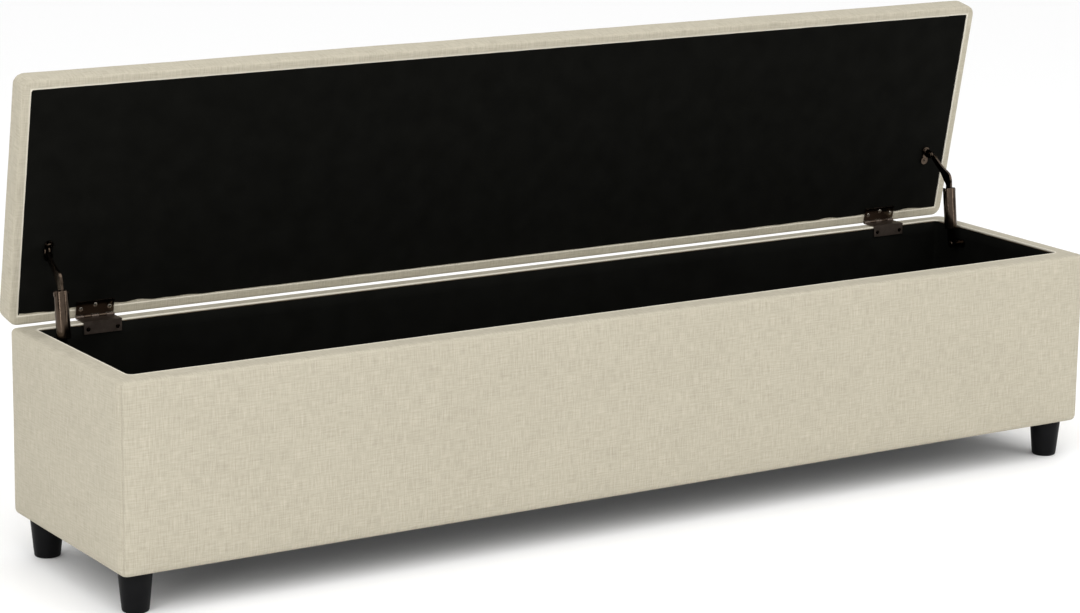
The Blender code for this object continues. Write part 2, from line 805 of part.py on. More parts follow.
def make_stay(side, name, lid_axis):
    """One stay: wall bracket, spring tube, plunger, spring, elbow pin, arm and lid bracket."""
    x = side * STAY_X
    lid_pivot = Vector((x, -LID_PIVOT_CLOSED.x, LID_PIVOT_CLOSED.y))
    lean = TUBE_ANGLE - math.pi / 2
    pivot_frame = add_empty(f"stay_lid_pivot_{name}", lid_pivot, lean - LID_OPEN_ANGLE, lid_axis)
    to_elbow = Vector((0, -math.sin(ARM_BEND), -math.cos(ARM_BEND))) * ARM_LENGTH
    elbow_frame = add_empty(f"stay_elbow_axis_{name}", to_elbow, parent=pivot_frame)

    make_tube(name, elbow_frame)
    arm = plate(
        f"stay_arm_{name}", arm_outline(), ARM_THICKNESS, BRONZE, to_elbow, ACROSS_X, pivot_frame
    )
    reach = Vector((2 * ARM_THICKNESS, 0, 0))
    for label, place in (("arm_hole", to_elbow), ("eye_hole", Vector((0, 0, 0)))):
        hole = cylinder(
            f"{label}_{name}", place - reach, place + reach, PIVOT_HOLE, parent=pivot_frame, sides=16
        )
        cut(arm, hole)

    pin_face, low_head = TUBE_RADIUS + GAP, 0.001
    rivet(f"stay_elbow_pin_{name}", side, -pin_face, pin_face, (0, 0, 0), elbow_frame, head=low_head)
    # The tab turns on this rivet, which stops flush with the tab: the stay's loop is open here.
    rivet(
        f"stay_foot_rivet_{name}",
        side,
        -TAB_THICKNESS / 2 - GAP,
        TAB_THICKNESS / 2,
        (0, 0, -TUBE_LENGTH),
        elbow_frame,
        outer_head=False,
    )
    make_plunger(name, elbow_frame)
    make_brackets(side, name, x, lid_axis)


def make_plunger(name, frame):
    """A domed plunger on the cam, with the spring below it."""
    nose, nose_length, guide, guide_height = 0.0032, 0.0155, TUBE_BORE - GAP, 0.004
    cam_clearance = 0.0004
    dome_steps = 3
    top = -CAM_RADIUS - cam_clearance
    flange = top - nose_length
    guide_foot = flange - guide_height
    dome = [math.pi / 2 * step / dome_steps for step in range(dome_steps + 1)]
    profile = [(nose * math.sin(angle), top - nose + nose * math.cos(angle)) for angle in dome]
    profile += [(nose, flange), (guide, flange), (guide, guide_foot), (0.0, guide_foot)]
    turned(f"stay_plunger_{name}", profile, STEEL, parent=frame, steps=16)
    spring_foot = TUBE_END - TUBE_LENGTH + TUBE_END_WALL + GAP
    make_spring(f"stay_spring_{name}", spring_foot, guide_foot - GAP, frame)


def two_ring_outline(radius, spread, waist):
    """A plate of two discs along its own X, joined by a narrower waist."""
    right = arc((spread, 0), radius, -145, 145, 14)
    left = arc((-spread, 0), radius, 35, 325, 14)
    return right + [(0.0, waist)] + left + [(0.0, -waist)]


def make_brackets(side, name, x, lid_axis):
    lid_spread, lid_waist = 0.009, 0.0052
    wall_spread, wall_waist, wall_hole_offset = 0.0085, 0.0072, 0.0105
    plate_from_ear, plate_ahead = 0.005, 0.004
    ear_radius, ear_flare = 0.006, 0.002
    stud_radius, stud_gap = 0.0045, 0.0007
    through = 2 * BRACKET_THICKNESS

    # On the lid: a two-ring plate along the lid's depth, with an upright ear beside the arm.
    ear_x = x - side * (ARM_THICKNESS / 2 + ARM_SIDE_PLAY + BRACKET_THICKNESS / 2)
    plate_x = ear_x - side * plate_from_ear
    under = PIN_HEIGHT - GAP - BRACKET_THICKNESS / 2
    pivot_y, pivot_z = -LID_PIVOT_CLOSED.x, LID_PIVOT_CLOSED.y
    lid_bracket = plate(
        f"stay_lid_bracket_{name}",
        two_ring_outline(BRACKET_RING_RADIUS, lid_spread, lid_waist),
        BRACKET_THICKNESS,
        BRONZE,
        (plate_x, pivot_y + plate_ahead, under),
        (0, 0, math.pi / 2),
        lid_axis,
    )
    ear_top = under - pivot_z
    ear_outline = [(ear_radius + ear_flare, ear_top)] + arc((0, 0), ear_radius, -10, -170, 10)
    ear_outline += [(-ear_radius - ear_flare, ear_top)]
    ear = plate(
        f"lid_ear_{name}",
        ear_outline,
        BRACKET_THICKNESS,
        None,
        (ear_x, pivot_y, pivot_z),
        ACROSS_X,
        lid_axis,
    )
    for index, offset in enumerate((-lid_spread, lid_spread)):
        hole = cylinder(
            f"lid_bracket_hole_{name}_{index}",
            (plate_x, pivot_y + plate_ahead + offset, under - through),
            (plate_x, pivot_y + plate_ahead + offset, under + through),
            BRACKET_SCREW_HOLE,
            parent=lid_axis,
            sides=14,
        )
        cut(lid_bracket, hole)
    pivot_hole = cylinder(
        f"lid_bracket_pivot_{name}",
        (ear_x - through, pivot_y, pivot_z),
        (ear_x + through, pivot_y, pivot_z),
        PIVOT_HOLE,
        parent=lid_axis,
        sides=16,
    )
    cut(ear, pivot_hole)
    join(lid_bracket, ear)
    ear_face = ARM_THICKNESS / 2 + ARM_SIDE_PLAY + BRACKET_THICKNESS + GAP
    arm_face = ARM_THICKNESS / 2 + GAP
    rivet(f"stay_lid_rivet_{name}", side, -ear_face, arm_face, (x, pivot_y, pivot_z), lid_axis)

    # On the end wall: a two-ring plate with a stud that stops just short of the tube's tab.
    wall_x = side * (INSIDE_X - GAP - BRACKET_THICKNESS / 2)
    place = Vector((wall_x, PIN.y - WALL_PIVOT.x, PIN.z + WALL_PIVOT.y))
    wall_bracket = plate(
        f"stay_wall_bracket_{name}",
        two_ring_outline(BRACKET_RING_RADIUS, wall_spread, wall_waist),
        BRACKET_THICKNESS,
        BRONZE,
        place,
        ACROSS_X,
    )
    tab_face = side * (STAY_X + TAB_THICKNESS / 2 + stud_gap)
    stud_end = Vector((tab_face, place.y, place.z))
    stud = cylinder(f"wall_stud_{name}", stud_end, place, stud_radius)
    join(wall_bracket, stud)
    for index, offset in enumerate((-wall_hole_offset, wall_hole_offset)):
        hole = cylinder(
            f"wall_bracket_hole_{name}_{index}",
            (wall_x - through, place.y + offset, place.z),
            (wall_x + through, place.y + offset, place.z),
            BRACKET_SCREW_HOLE,
            sides=14,
        )
        cut(wall_bracket, hole)


# ---------------------------------------------------------------- assembly
def main():
    make_panels()
    make_floor()
    make_feet()
    make_body_upholstery()

    lid_axis = add_empty("lid_hinge_axis", PIN, LID_OPEN_ANGLE)
    pin_frame = add_empty("hinge_pin_frame", PIN)
    lid_layers = make_lid(lid_axis)
    wall_layers = (PARTS.objects["storage_lining"], PARTS.objects["rear_panel"])
    make_hinges(lid_axis, pin_frame, lid_layers, wall_layers)
    for side, name in ((-1, "left"), (1, "right")):
        make_stay(side, name, lid_axis)


main()
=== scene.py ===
import json
import math

import bmesh
import bpy
import numpy as np
from mathutils import Matrix, Vector, noise


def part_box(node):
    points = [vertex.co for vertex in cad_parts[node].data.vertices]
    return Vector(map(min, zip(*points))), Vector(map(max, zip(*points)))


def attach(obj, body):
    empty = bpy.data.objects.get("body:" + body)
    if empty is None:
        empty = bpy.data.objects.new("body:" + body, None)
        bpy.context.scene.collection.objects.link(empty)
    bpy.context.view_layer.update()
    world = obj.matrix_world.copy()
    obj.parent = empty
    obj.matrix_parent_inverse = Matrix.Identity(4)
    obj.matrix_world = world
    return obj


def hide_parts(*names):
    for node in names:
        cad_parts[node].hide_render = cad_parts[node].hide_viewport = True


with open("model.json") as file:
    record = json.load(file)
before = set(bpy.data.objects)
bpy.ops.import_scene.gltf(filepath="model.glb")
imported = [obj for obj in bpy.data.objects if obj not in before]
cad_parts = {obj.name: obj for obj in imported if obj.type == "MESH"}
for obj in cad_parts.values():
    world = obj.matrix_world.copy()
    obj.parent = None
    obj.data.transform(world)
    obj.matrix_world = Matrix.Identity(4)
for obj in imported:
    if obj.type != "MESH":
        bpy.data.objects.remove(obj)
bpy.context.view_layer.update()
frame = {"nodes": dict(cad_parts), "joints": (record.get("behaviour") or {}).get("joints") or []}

# A storage bench: a linen-covered box on four feet, and its padded lid held open by two spring stays.
# Metres, in the frame of the CAD: +Z up, +X along the bench, front towards -Y.

NODES = frame["nodes"]
JOINTS = {joint["name"]: joint for joint in frame["joints"]}
PIN = Vector(JOINTS["lid_hinge"]["pos_m"])
OPEN_ANGLE = math.radians(79.0)
# The lid's own frame: its origin is on the hinge pin, and the lid lies closed in it.
LID = Matrix.Translation(PIN) @ Matrix.Rotation(-OPEN_ANGLE, 4, "X")
LID_DOWN = LID.to_3x3() @ Vector((0, 0, -1))
SIDES = ((-1, "left"), (1, "right"))
MM = 0.001
CLOTH_FRAMES = 20


# -------- camera and lights
def link(obj):
    bpy.context.scene.collection.objects.link(obj)


def make_camera():
    """The photograph's viewpoint: a long lens, from the front left and a little above."""
    place = Vector((-2.8422, -4.3752, 1.5213))
    yaw, pitch, roll = 0.568, 0.2166, 0.0137
    forward = Vector((math.sin(yaw) * math.cos(pitch), math.cos(yaw) * math.cos(pitch), -math.sin(pitch)))
    right = Vector((math.cos(yaw), -math.sin(yaw), 0.0))
    up = right.cross(forward)
    across = math.cos(roll) * right + math.sin(roll) * up
    upward = -math.sin(roll) * right + math.cos(roll) * up
    data = bpy.data.cameras.new("camera")
    data.sensor_width = 36.0
    data.lens = 110.70
    data.shift_x, data.shift_y = -0.0047, -0.03
    data.clip_end = 100.0
    camera = bpy.data.objects.new("camera", data)
    turn = Matrix((across, upward, -forward)).transposed().to_4x4()
    camera.matrix_world = Matrix.Translation(place) @ turn
    link(camera)
    bpy.context.scene.camera = camera


def area_light(name, place, target, size, power):
    data = bpy.data.lights.new(name, "AREA")
    data.shape = "RECTANGLE"
    data.size, data.size_y = size
    data.energy = power
    light = bpy.data.objects.new(name, data)
    light.location = place
    light.rotation_euler = (Vector(target) - Vector(place)).to_track_quat("-Z", "Y").to_euler()
    link(light)


# -------- material nodes
class Graph:
    """Short calls for building a node tree."""

    def __init__(self, tree):
        self.tree = tree
        self.coords = self.tree.nodes.new("ShaderNodeTexCoord")
        self.place = self.coords.outputs["Object"]

    def plug(self, socket, value):
        if isinstance(value, bpy.types.NodeSocket):
            self.tree.links.new(value, socket)
        else:
            socket.default_value = value

    def operate(self, kind, operation, values):
        node = self.tree.nodes.new(kind)
        node.operation = operation
        for socket, value in zip(node.inputs, values):
            self.plug(socket, value)
        return node.outputs

    def math(self, operation, *values):
        return self.operate("ShaderNodeMath", operation, values)[0]

    def plus(self, first, second):
        return self.math("ADD", first, second)

    def times(self, first, second):
        return self.math("MULTIPLY", first, second)

    def vector(self, operation, *values):
        outputs = self.operate("ShaderNodeVectorMath", operation, values)
        return outputs["Value" if operation == "DOT_PRODUCT" else 0]

    def separate(self, vector):
        node = self.tree.nodes.new("ShaderNodeSeparateXYZ")
        self.plug(node.inputs[0], vector)
        return node.outputs[0], node.outputs[1], node.outputs[2]

    def combine(self, x, y, z=0.0):
        node = self.tree.nodes.new("ShaderNodeCombineXYZ")
        for socket, value in zip(node.inputs, (x, y, z)):
            self.plug(socket, value)
        return node.outputs[0]

    def noise(self, vector, scale=1.0, detail=2.0, roughness=0.5):
        node = self.tree.nodes.new("ShaderNodeTexNoise")
        self.plug(node.inputs["Vector"], vector)
        node.inputs["Scale"].default_value = scale
        node.inputs["Detail"].default_value = detail
        node.inputs["Roughness"].default_value = roughness
        return node.outputs[0]

    def wave(self, distance, length):
        return self.math("SINE", self.times(distance, math.tau / length))

    def attribute(self, name):
        node = self.tree.nodes.new("ShaderNodeAttribute")
        node.attribute_name = name
        return node.outputs["Fac"]

    def spread(self, value, low, high, out_low=0.0, out_high=1.0):
        node = self.tree.nodes.new("ShaderNodeMapRange")
        for socket, number in zip(node.inputs, (value, low, high, out_low, out_high)):
            self.plug(socket, number)
        return node.outputs[0]

    def between(self, factor, first, second):
        """A colour between two."""
        node = self.tree.nodes.new("ShaderNodeMix")
        node.data_type = "RGBA"
        self.plug(node.inputs["Factor"], factor)
        self.plug(node.inputs[6], (*first, 1.0) if isinstance(first, tuple) else first)
        self.plug(node.inputs[7], (*second, 1.0) if isinstance(second, tuple) else second)
        return node.outputs[2]

    def pick(self, factor, first, second):
        """first where the factor is 0, second where it is 1."""
        return self.plus(first, self.times(factor, self.math("SUBTRACT", second, first)))


class Finish(Graph):
    """One material and its nodes."""

    def __init__(self, name, roughness, metallic=0.0, specular=0.5):
        self.material = bpy.data.materials.new(name)
        self.material.use_nodes = True
        super().__init__(self.material.node_tree)
        self.shader = self.tree.nodes["Principled BSDF"]
        self.shader.inputs["Roughness"].default_value = roughness
        self.shader.inputs["Metallic"].default_value = metallic
        self.shader.inputs["Specular IOR Level"].default_value = specular

    def paint(self, colour):
        self.plug(self.shader.inputs["Base Color"], colour)

    def bump(self, height, distance, strength):
        node = self.tree.nodes.new("ShaderNodeBump")
        node.inputs["Strength"].default_value = strength
        node.inputs["Distance"].default_value = distance
        self.plug(node.inputs["Height"], height)
        self.plug(self.shader.inputs["Normal"], node.outputs[0])

    def face_plane(self):
        """Across and along the cloth in metres, by the way the surface faces: no UV map is needed."""
        x, y, z = self.separate(self.place)
        facing = self.vector("ABSOLUTE", self.coords.outputs["Normal"])
        face_x, face_y, face_z = self.separate(facing)
        more = "GREATER_THAN"
        end_face = self.times(self.math(more, face_x, face_y), self.math(more, face_x, face_z))
        flat_face = self.times(self.math(more, face_z, face_x), self.math(more, face_z, face_y))
        return self.pick(end_face, x, y), self.pick(flat_face, z, y)


def linen_material():
    """Cream linen: slubs in the warp and the weft, the threads themselves, and a soft sheen."""
    graph = Finish("linen_cream", roughness=0.9, specular=0.08)
    across, along = graph.face_plane()
    slub_width, slub_length = 1.9 * MM, 25 * MM
    warp = graph.noise(graph.combine(
        graph.math("DIVIDE", across, slub_width), graph.math("DIVIDE", along, slub_length)), detail=3.0)
    weft = graph.noise(graph.combine(
        graph.math("DIVIDE", across, slub_length), graph.math("DIVIDE", along, slub_width), 7.0), detail=3.0)
    cloud = graph.noise(graph.place, scale=16.0, detail=3.0)

    thread = 0.85 * MM
    crossing = graph.times(graph.wave(across, thread), graph.wave(along, thread))

    slubs = graph.plus(graph.times(warp, 1.1), graph.times(weft, 0.9))
    tone = graph.plus(slubs, graph.times(cloud, 0.18))
    tone = graph.plus(tone, graph.times(crossing, 0.07))
    shade = graph.spread(tone, 0.64, 1.54)
    colour = graph.between(shade, (0.342, 0.312, 0.244), (0.515, 0.476, 0.381))
    # Painted highlight: the tight fold of a lip is painted lighter than the cloth beside it, where it would
    # catch the light.
    colour = graph.between(graph.times(graph.attribute("fold_highlight"), 0.9), colour, (0.74, 0.70, 0.60))
    # The needle holes and the shade in a sewn seam.
    colour = graph.between(graph.times(graph.attribute("seam"), 0.22), colour, (0.20, 0.18, 0.14))
    graph.paint(colour)
    graph.shader.inputs["Sheen Weight"].default_value = 0.03
    graph.shader.inputs["Sheen Roughness"].default_value = 0.45
    height = graph.plus(graph.times(crossing, 0.22), slubs)
    graph.bump(height, 0.25 * MM, 0.65)
    return graph.material


def black_cloth_material():
    """Black non-woven lining: a fine matted surface with faint bonded dots."""
    graph = Finish("lining_black", roughness=0.9, specular=0.03)
    across, along = graph.face_plane()
    fibres = graph.noise(graph.place, scale=900.0, detail=4.0)
    mottle = graph.noise(graph.place, scale=26.0, detail=4.0)
    pitch = 2.2 * MM
    dots = graph.times(graph.wave(across, pitch), graph.wave(along, pitch))
    tone = graph.plus(graph.times(fibres, 0.5), graph.times(mottle, 0.6))
    colour = graph.between(graph.spread(tone, 0.35, 0.80), (0.0028, 0.0028, 0.0023), (0.0056, 0.0056, 0.0047))
    graph.paint(colour)
    height = graph.plus(fibres, graph.times(dots, 0.25))
    graph.bump(height, 0.15 * MM, 0.6)
    return graph.material


def metal_material(name, dark, light, roughness, grain=0.35):
    """Plated steel with a fine drawn grain, cloudy plating and slightly worn roughness."""
    graph = Finish(name, roughness=roughness, metallic=1.0)
    plating = graph.noise(graph.place, scale=130.0, detail=4.0)
    stretched = graph.vector("MULTIPLY", graph.place, (9000.0, 900.0, 500.0))
    drawn = graph.noise(stretched, detail=2.0)
    tone = graph.plus(graph.times(plating, 0.5), graph.times(drawn, grain))
    colour = graph.between(graph.spread(tone, 0.20, 0.70), dark, light)
    graph.paint(colour)
    rough = graph.spread(plating, 0.25, 0.75, roughness - 0.04, roughness + 0.05)
    graph.plug(graph.shader.inputs["Roughness"], rough)
    graph.bump(drawn, 0.02 * MM, 0.4)
    return graph.material


def foot_material():
    """Satin black moulded plastic with a fine spark texture."""
    graph = Finish("foot_satin_black", roughness=0.42, specular=0.06)
    spark = graph.noise(graph.place, scale=1600.0, detail=2.0)
    smear = graph.noise(graph.place, scale=45.0, detail=3.0)
    colour = graph.between(graph.spread(smear, 0.3, 0.7), (0.0040, 0.0041, 0.0044), (0.0064, 0.0065, 0.0070))
    graph.paint(colour)
    graph.plug(graph.shader.inputs["Roughness"], graph.spread(smear, 0.3, 0.7, 0.38, 0.48))
    graph.bump(spark, 0.04 * MM, 0.5)
    return graph.material


def board_material():
    """Raw pine board: long grain along the bench, with darker growth lines."""
    graph = Finish("board_pine", roughness=0.72, specular=0.3)
    stretched = graph.vector("MULTIPLY", graph.place, (2.5, 45.0, 45.0))
    rings = graph.noise(stretched, detail=5.0, roughness=0.6)
    pores = graph.noise(graph.vector("MULTIPLY", graph.place, (60.0, 900.0, 900.0)))
    grain = graph.plus(rings, graph.times(pores, 0.25))
    colour = graph.between(graph.spread(grain, 0.40, 0.85), (0.60, 0.43, 0.25), (0.36, 0.22, 0.11))
    graph.paint(colour)
    graph.bump(grain, 0.3 * MM, 0.4)
    return graph.material


# -------- light and floor
def make_world():
    """White light from all round, but for two dim sectors that give the round metal its dark bands."""
    world = bpy.data.worlds.new("studio")
    world.use_nodes = True
    graph = Graph(world.node_tree)
    direction = graph.coords.outputs["Generated"]
    dimmed = 0.0
    for azimuth, outer, inner in ((-45.0, 0.90, 0.97), (200.0, 0.94, 0.985)):
        toward = (math.cos(math.radians(azimuth)), math.sin(math.radians(azimuth)), 0.0)
        facing = graph.vector("DOT_PRODUCT", direction, toward)
        dimmed = graph.plus(dimmed, graph.spread(facing, outer, inner))
    colour = graph.between(dimmed, (1.0, 1.0, 1.0), (0.10, 0.09, 0.08))
    graph.plug(world.node_tree.nodes["Background"].inputs["Color"], colour)
    return world


def make_studio():
    scene = bpy.context.scene
    scene.view_settings.view_transform = "Standard"
    scene.world = make_world()
    middle = (0.0, 0.0, 0.35)
    area_light("key", (-2.2, -2.6, 2.6), middle, (2.6, 2.0), 26.0)
    area_light("fill", (2.6, -2.4, 1.8), middle, (2.0, 2.0), 16.0)
    area_light("top", (-0.2, -1.0, 3.0), (0.0, -0.3, 0.3), (3.4, 1.8), 24.0)
    # Narrow upright strips: they add little light and give the round metal its bright bands.
    area_light("strip_left", (-2.6, -1.2, 0.9), middle, (0.25, 1.6), 9.0)
    area_light("strip_right", (1.9, -2.6, 0.9), middle, (0.25, 1.6), 9.0)

    shape = bmesh.new()
    bmesh.ops.create_grid(shape, x_segments=1, y_segments=1, size=30.0)
    mesh = bpy.data.meshes.new("floor")
    shape.to_mesh(mesh)
    shape.free()
    floor = bpy.data.objects.new("floor", mesh)
    material = bpy.data.materials.new("pale_floor")
    material.use_nodes = True
    shader = material.node_tree.nodes["Principled BSDF"]
    shader.inputs["Base Color"].default_value = (0.97, 0.97, 0.97, 1.0)
    shader.inputs["Roughness"].default_value = 0.9
    mesh.materials.append(material)
    link(floor)


LINEN = linen_material()
BLACK = black_cloth_material()
BRONZE = metal_material("steel_bronze", (0.050, 0.036, 0.026), (0.100, 0.074, 0.055), 0.16)
# A lighter copy of the bronze for the body leaves: the lighter colour is painted light from above.
LIT_LEAF_BRONZE = metal_material("steel_bronze_leaf_painted_light", (0.086, 0.065, 0.052), (0.152, 0.122, 0.101), 0.40)
# Pale metal for the lid screw heads: a painted highlight, standing in for glints on their domed heads.
SCREW_STEEL_HIGHLIGHT = metal_material("steel_screw_painted_highlight", (0.360, 0.325, 0.270), (0.520, 0.480, 0.420), 0.26)
ZINC = metal_material("steel_zinc", (0.42, 0.42, 0.41), (0.66, 0.66, 0.64), 0.34)
FOOT = foot_material()
PINE = board_material()


# -------- mesh helpers
def local_box(node, matrix):
    """A CAD node's lowest and highest corner in another frame."""
    back = matrix.inverted()
    places = np.array([back @ vert.co for vert in NODES[node].data.vertices])
    return Vector(places.min(0)), Vector(places.max(0))


def add_piece(name, mesh, body, material, replaces=(), matrix=None):
    obj = bpy.data.objects.new(name, mesh)
    if not mesh.materials:
        mesh.materials.append(material)
    link(obj)
    if matrix is not None:
        obj.matrix_world = matrix
    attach(obj, body)
    if replaces:
        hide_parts(*replaces)
    return obj


def baked(obj):
    """The object's mesh with its modifiers applied, as a new mesh."""
    graph = bpy.context.evaluated_depsgraph_get()
    return bpy.data.meshes.new_from_object(obj.evaluated_get(graph))


def apply_modifiers(obj):
    old = obj.data
    new = baked(obj)
    obj.modifiers.clear()
    obj.data = new
    bpy.data.meshes.remove(old)


def mesh_from(name, shape, angle=35.0):
    mesh = bpy.data.meshes.new(name)
    shape.to_mesh(mesh)
    shape.free()
    mesh.shade_smooth()
    mesh.set_sharp_from_angle(angle=math.radians(angle))
    return mesh


class Weave:
    """Rings of equal point count round a rounded rectangle, and all-quad caps to fill them."""

    def __init__(self, along_x, along_y, corner):
        self.along_x, self.along_y, self.corner = along_x, along_y, corner
        self.verts, self.faces = [], []

    def corner_arc(self, centre, radius, start):
        half = self.corner // 2
        for step in range(half):
            angle = math.radians(start + 45.0 * step / half)
            yield centre[0] + radius * math.cos(angle), centre[1] + radius * math.sin(angle)

    def ring(self, rect, radius, z):
        """One closed ring from the middle of the front left corner, and the index of its first point."""
        x0, x1, y0, y1 = rect
        corners = (
            (x0 + radius, y0 + radius), (x1 - radius, y0 + radius),
            (x1 - radius, y1 - radius), (x0 + radius, y1 - radius),
        )
        points = []
        for side in range(4):
            here, there = corners[side], corners[(side + 1) % 4]
            count = self.along_x if side % 2 == 0 else self.along_y
            start = 225.0 + 90.0 * side
            points += self.corner_arc(here, radius, start)
            outward = math.radians(start + 45.0)
            for step in range(count):
                share = step / count
                points.append((
                    here[0] + (there[0] - here[0]) * share + radius * math.cos(outward),
                    here[1] + (there[1] - here[1]) * share + radius * math.sin(outward),
                ))
            points += self.corner_arc(there, radius, start + 45.0)
        first = len(self.verts)
        self.verts += [(x, y, z) for x, y in points]
        return first

    def count(self):
        return 2 * (self.along_x + self.along_y) + 4 * self.corner

    def bridge(self, first, second):
        count = self.count()
        for step in range(count):
            after = (step + 1) % count
            self.faces.append((first + step, first + after, second + after, second + step))

    def join(self, firsts):
        """Bridges each ring to the next."""
        for first, second in zip(firsts, firsts[1:]):
            self.bridge(first, second)

    def cap(self, first, flip=False):
        """Fills a ring with a grid whose four corners sit in the middle of the ring's corner arcs."""
        wide, deep = self.along_x + self.corner, self.along_y + self.corner
        total = self.count()
        grid = [[0] * (deep + 1) for _ in range(wide + 1)]
        for i in range(wide + 1):
            grid[i][0] = first + i
            grid[i][deep] = first + wide + deep + (wide - i)
        for j in range(deep + 1):
            grid[0][j] = first + (total - j) % total
            grid[wide][j] = first + wide + j
        place = np.array(self.verts)
        corner = [[place[grid[i][j]] for j in (0, deep)] for i in (0, wide)]
        for i in range(1, wide):
            u = i / wide
            for j in range(1, deep):
                v = j / deep
                sides = (1 - v) * place[grid[i][0]] + v * place[grid[i][deep]]
                sides = sides + (1 - u) * place[grid[0][j]] + u * place[grid[wide][j]]
                plain = (1 - u) * ((1 - v) * corner[0][0] + v * corner[0][1])
                plain = plain + u * ((1 - v) * corner[1][0] + v * corner[1][1])
                grid[i][j] = len(self.verts)
                self.verts.append(tuple(sides - plain))
        for i in range(wide):
            for j in range(deep):
                face = (grid[i][j], grid[i + 1][j], grid[i + 1][j + 1], grid[i][j + 1])
                self.faces.append(tuple(reversed(face)) if flip else face)

    def mesh(self, name):
        mesh = bpy.data.meshes.new(name)
        mesh.from_pydata(self.verts, [], self.faces)
        shape = bmesh.new()
        shape.from_mesh(mesh)
        bmesh.ops.recalc_face_normals(shape, faces=shape.faces)
        shape.to_mesh(mesh)
        shape.free()
        mesh.shade_smooth()
        return mesh


def inset(rect, amount):
    return rect[0] + amount, rect[1] - amount, rect[2] + amount, rect[3] - amount


def rect_of(low, high):
    return low.x, high.x, low.y, high.y


def positions(mesh):
    flat = np.zeros(len(mesh.vertices) * 3)
    mesh.vertices.foreach_get("co", flat)
    return flat.reshape(-1, 3)


def set_positions(mesh, places):
    mesh.vertices.foreach_set("co", np.ascontiguousarray(places).ravel())
    mesh.update()


def normals(mesh):
    flat = np.zeros(len(mesh.vertices) * 3)
    mesh.vertex_normals.foreach_get("vector", flat)
    return flat.reshape(-1, 3)


def inflate(obj, free, pressure, most):
    """Cloth under pressure, as stuffing gives it: held where free is 0, and moved no further than most."""
    rest = positions(obj.data)
    free = np.clip(free, 0.0, 1.0)
    held = obj.vertex_groups.new(name="held")
    for index in np.nonzero(free < 1.0)[0]:
        held.add([int(index)], float(1.0 - free[index]), "REPLACE")
    cloth = obj.modifiers.new("cloth", "CLOTH")
    cloth.settings.vertex_group_mass = "held"
    cloth.settings.use_pressure = True
    cloth.settings.uniform_pressure_force = pressure
    cloth.settings.effector_weights.gravity = 0.0
    cloth.settings.quality = 5
    cloth.settings.tension_stiffness = 18.0
    cloth.settings.compression_stiffness = 18.0
    cloth.settings.shear_stiffness = 8.0
    cloth.settings.bending_stiffness = 1.2
    cloth.collision_settings.use_collision = False
    scene = bpy.context.scene
    for step in range(1, CLOTH_FRAMES + 1):
        scene.frame_set(step)
    moved = positions(obj.evaluated_get(bpy.context.evaluated_depsgraph_get()).data)
    obj.modifiers.remove(cloth)
    obj.vertex_groups.remove(held)
    scene.frame_set(1)
    change = moved - rest
    length = np.linalg.norm(change, axis=1)
    limit = np.maximum(most * free, 1e-6)
    scale = limit * np.tanh(length / limit) / np.maximum(length, 1e-9)
    set_positions(obj.data, rest + change * scale[:, None])


def subdivide(obj):
    smooth = obj.modifiers.new("smooth", "SUBSURF")
    smooth.levels = smooth.render_levels = 1
    apply_modifiers(obj)
    obj.data.shade_smooth()


def mark(mesh, name, share):
    """Stores how far each point lies on a fold or a seam, 0 to 1, for the linen's colour: a painted highlight
    on a fold, needle holes and painted shade in a seam.
    """
    layer = mesh.attributes.new(name, "FLOAT", "POINT")
    layer.data.foreach_set("value", np.ascontiguousarray(share, dtype=np.float32))


def past_rounded(x, y, half_x, half_y, corner):
    """Distance outside a rounded rectangle round the origin, and negative inside it."""
    past_x, past_y = np.abs(x) - half_x + corner, np.abs(y) - half_y + corner
    beyond = np.hypot(np.maximum(past_x, 0.0), np.maximum(past_y, 0.0))
    return beyond + np.minimum(np.maximum(past_x, past_y), 0.0) - corner


def from_sides(x, y, low, high):
    """Distance in from a box's nearer end, and from its nearer long side."""
    return high.x - np.abs(x), (high.y - low.y) / 2 - np.abs(y - (low.y + high.y) / 2)


def unevenness(places, shown, *waves):
    """Soft relief where shown is true. Each wave is an amount and a frequency."""
    change = np.zeros(len(places))
    for index in np.nonzero(shown)[0]:
        point = Vector(places[index])
        change[index] = sum(amount * noise.noise(point * frequency) for amount, frequency in waves)
    return change


def ease(value):
    value = np.clip(value, 0.0, 1.0)
    return value * value * (3 - 2 * value)


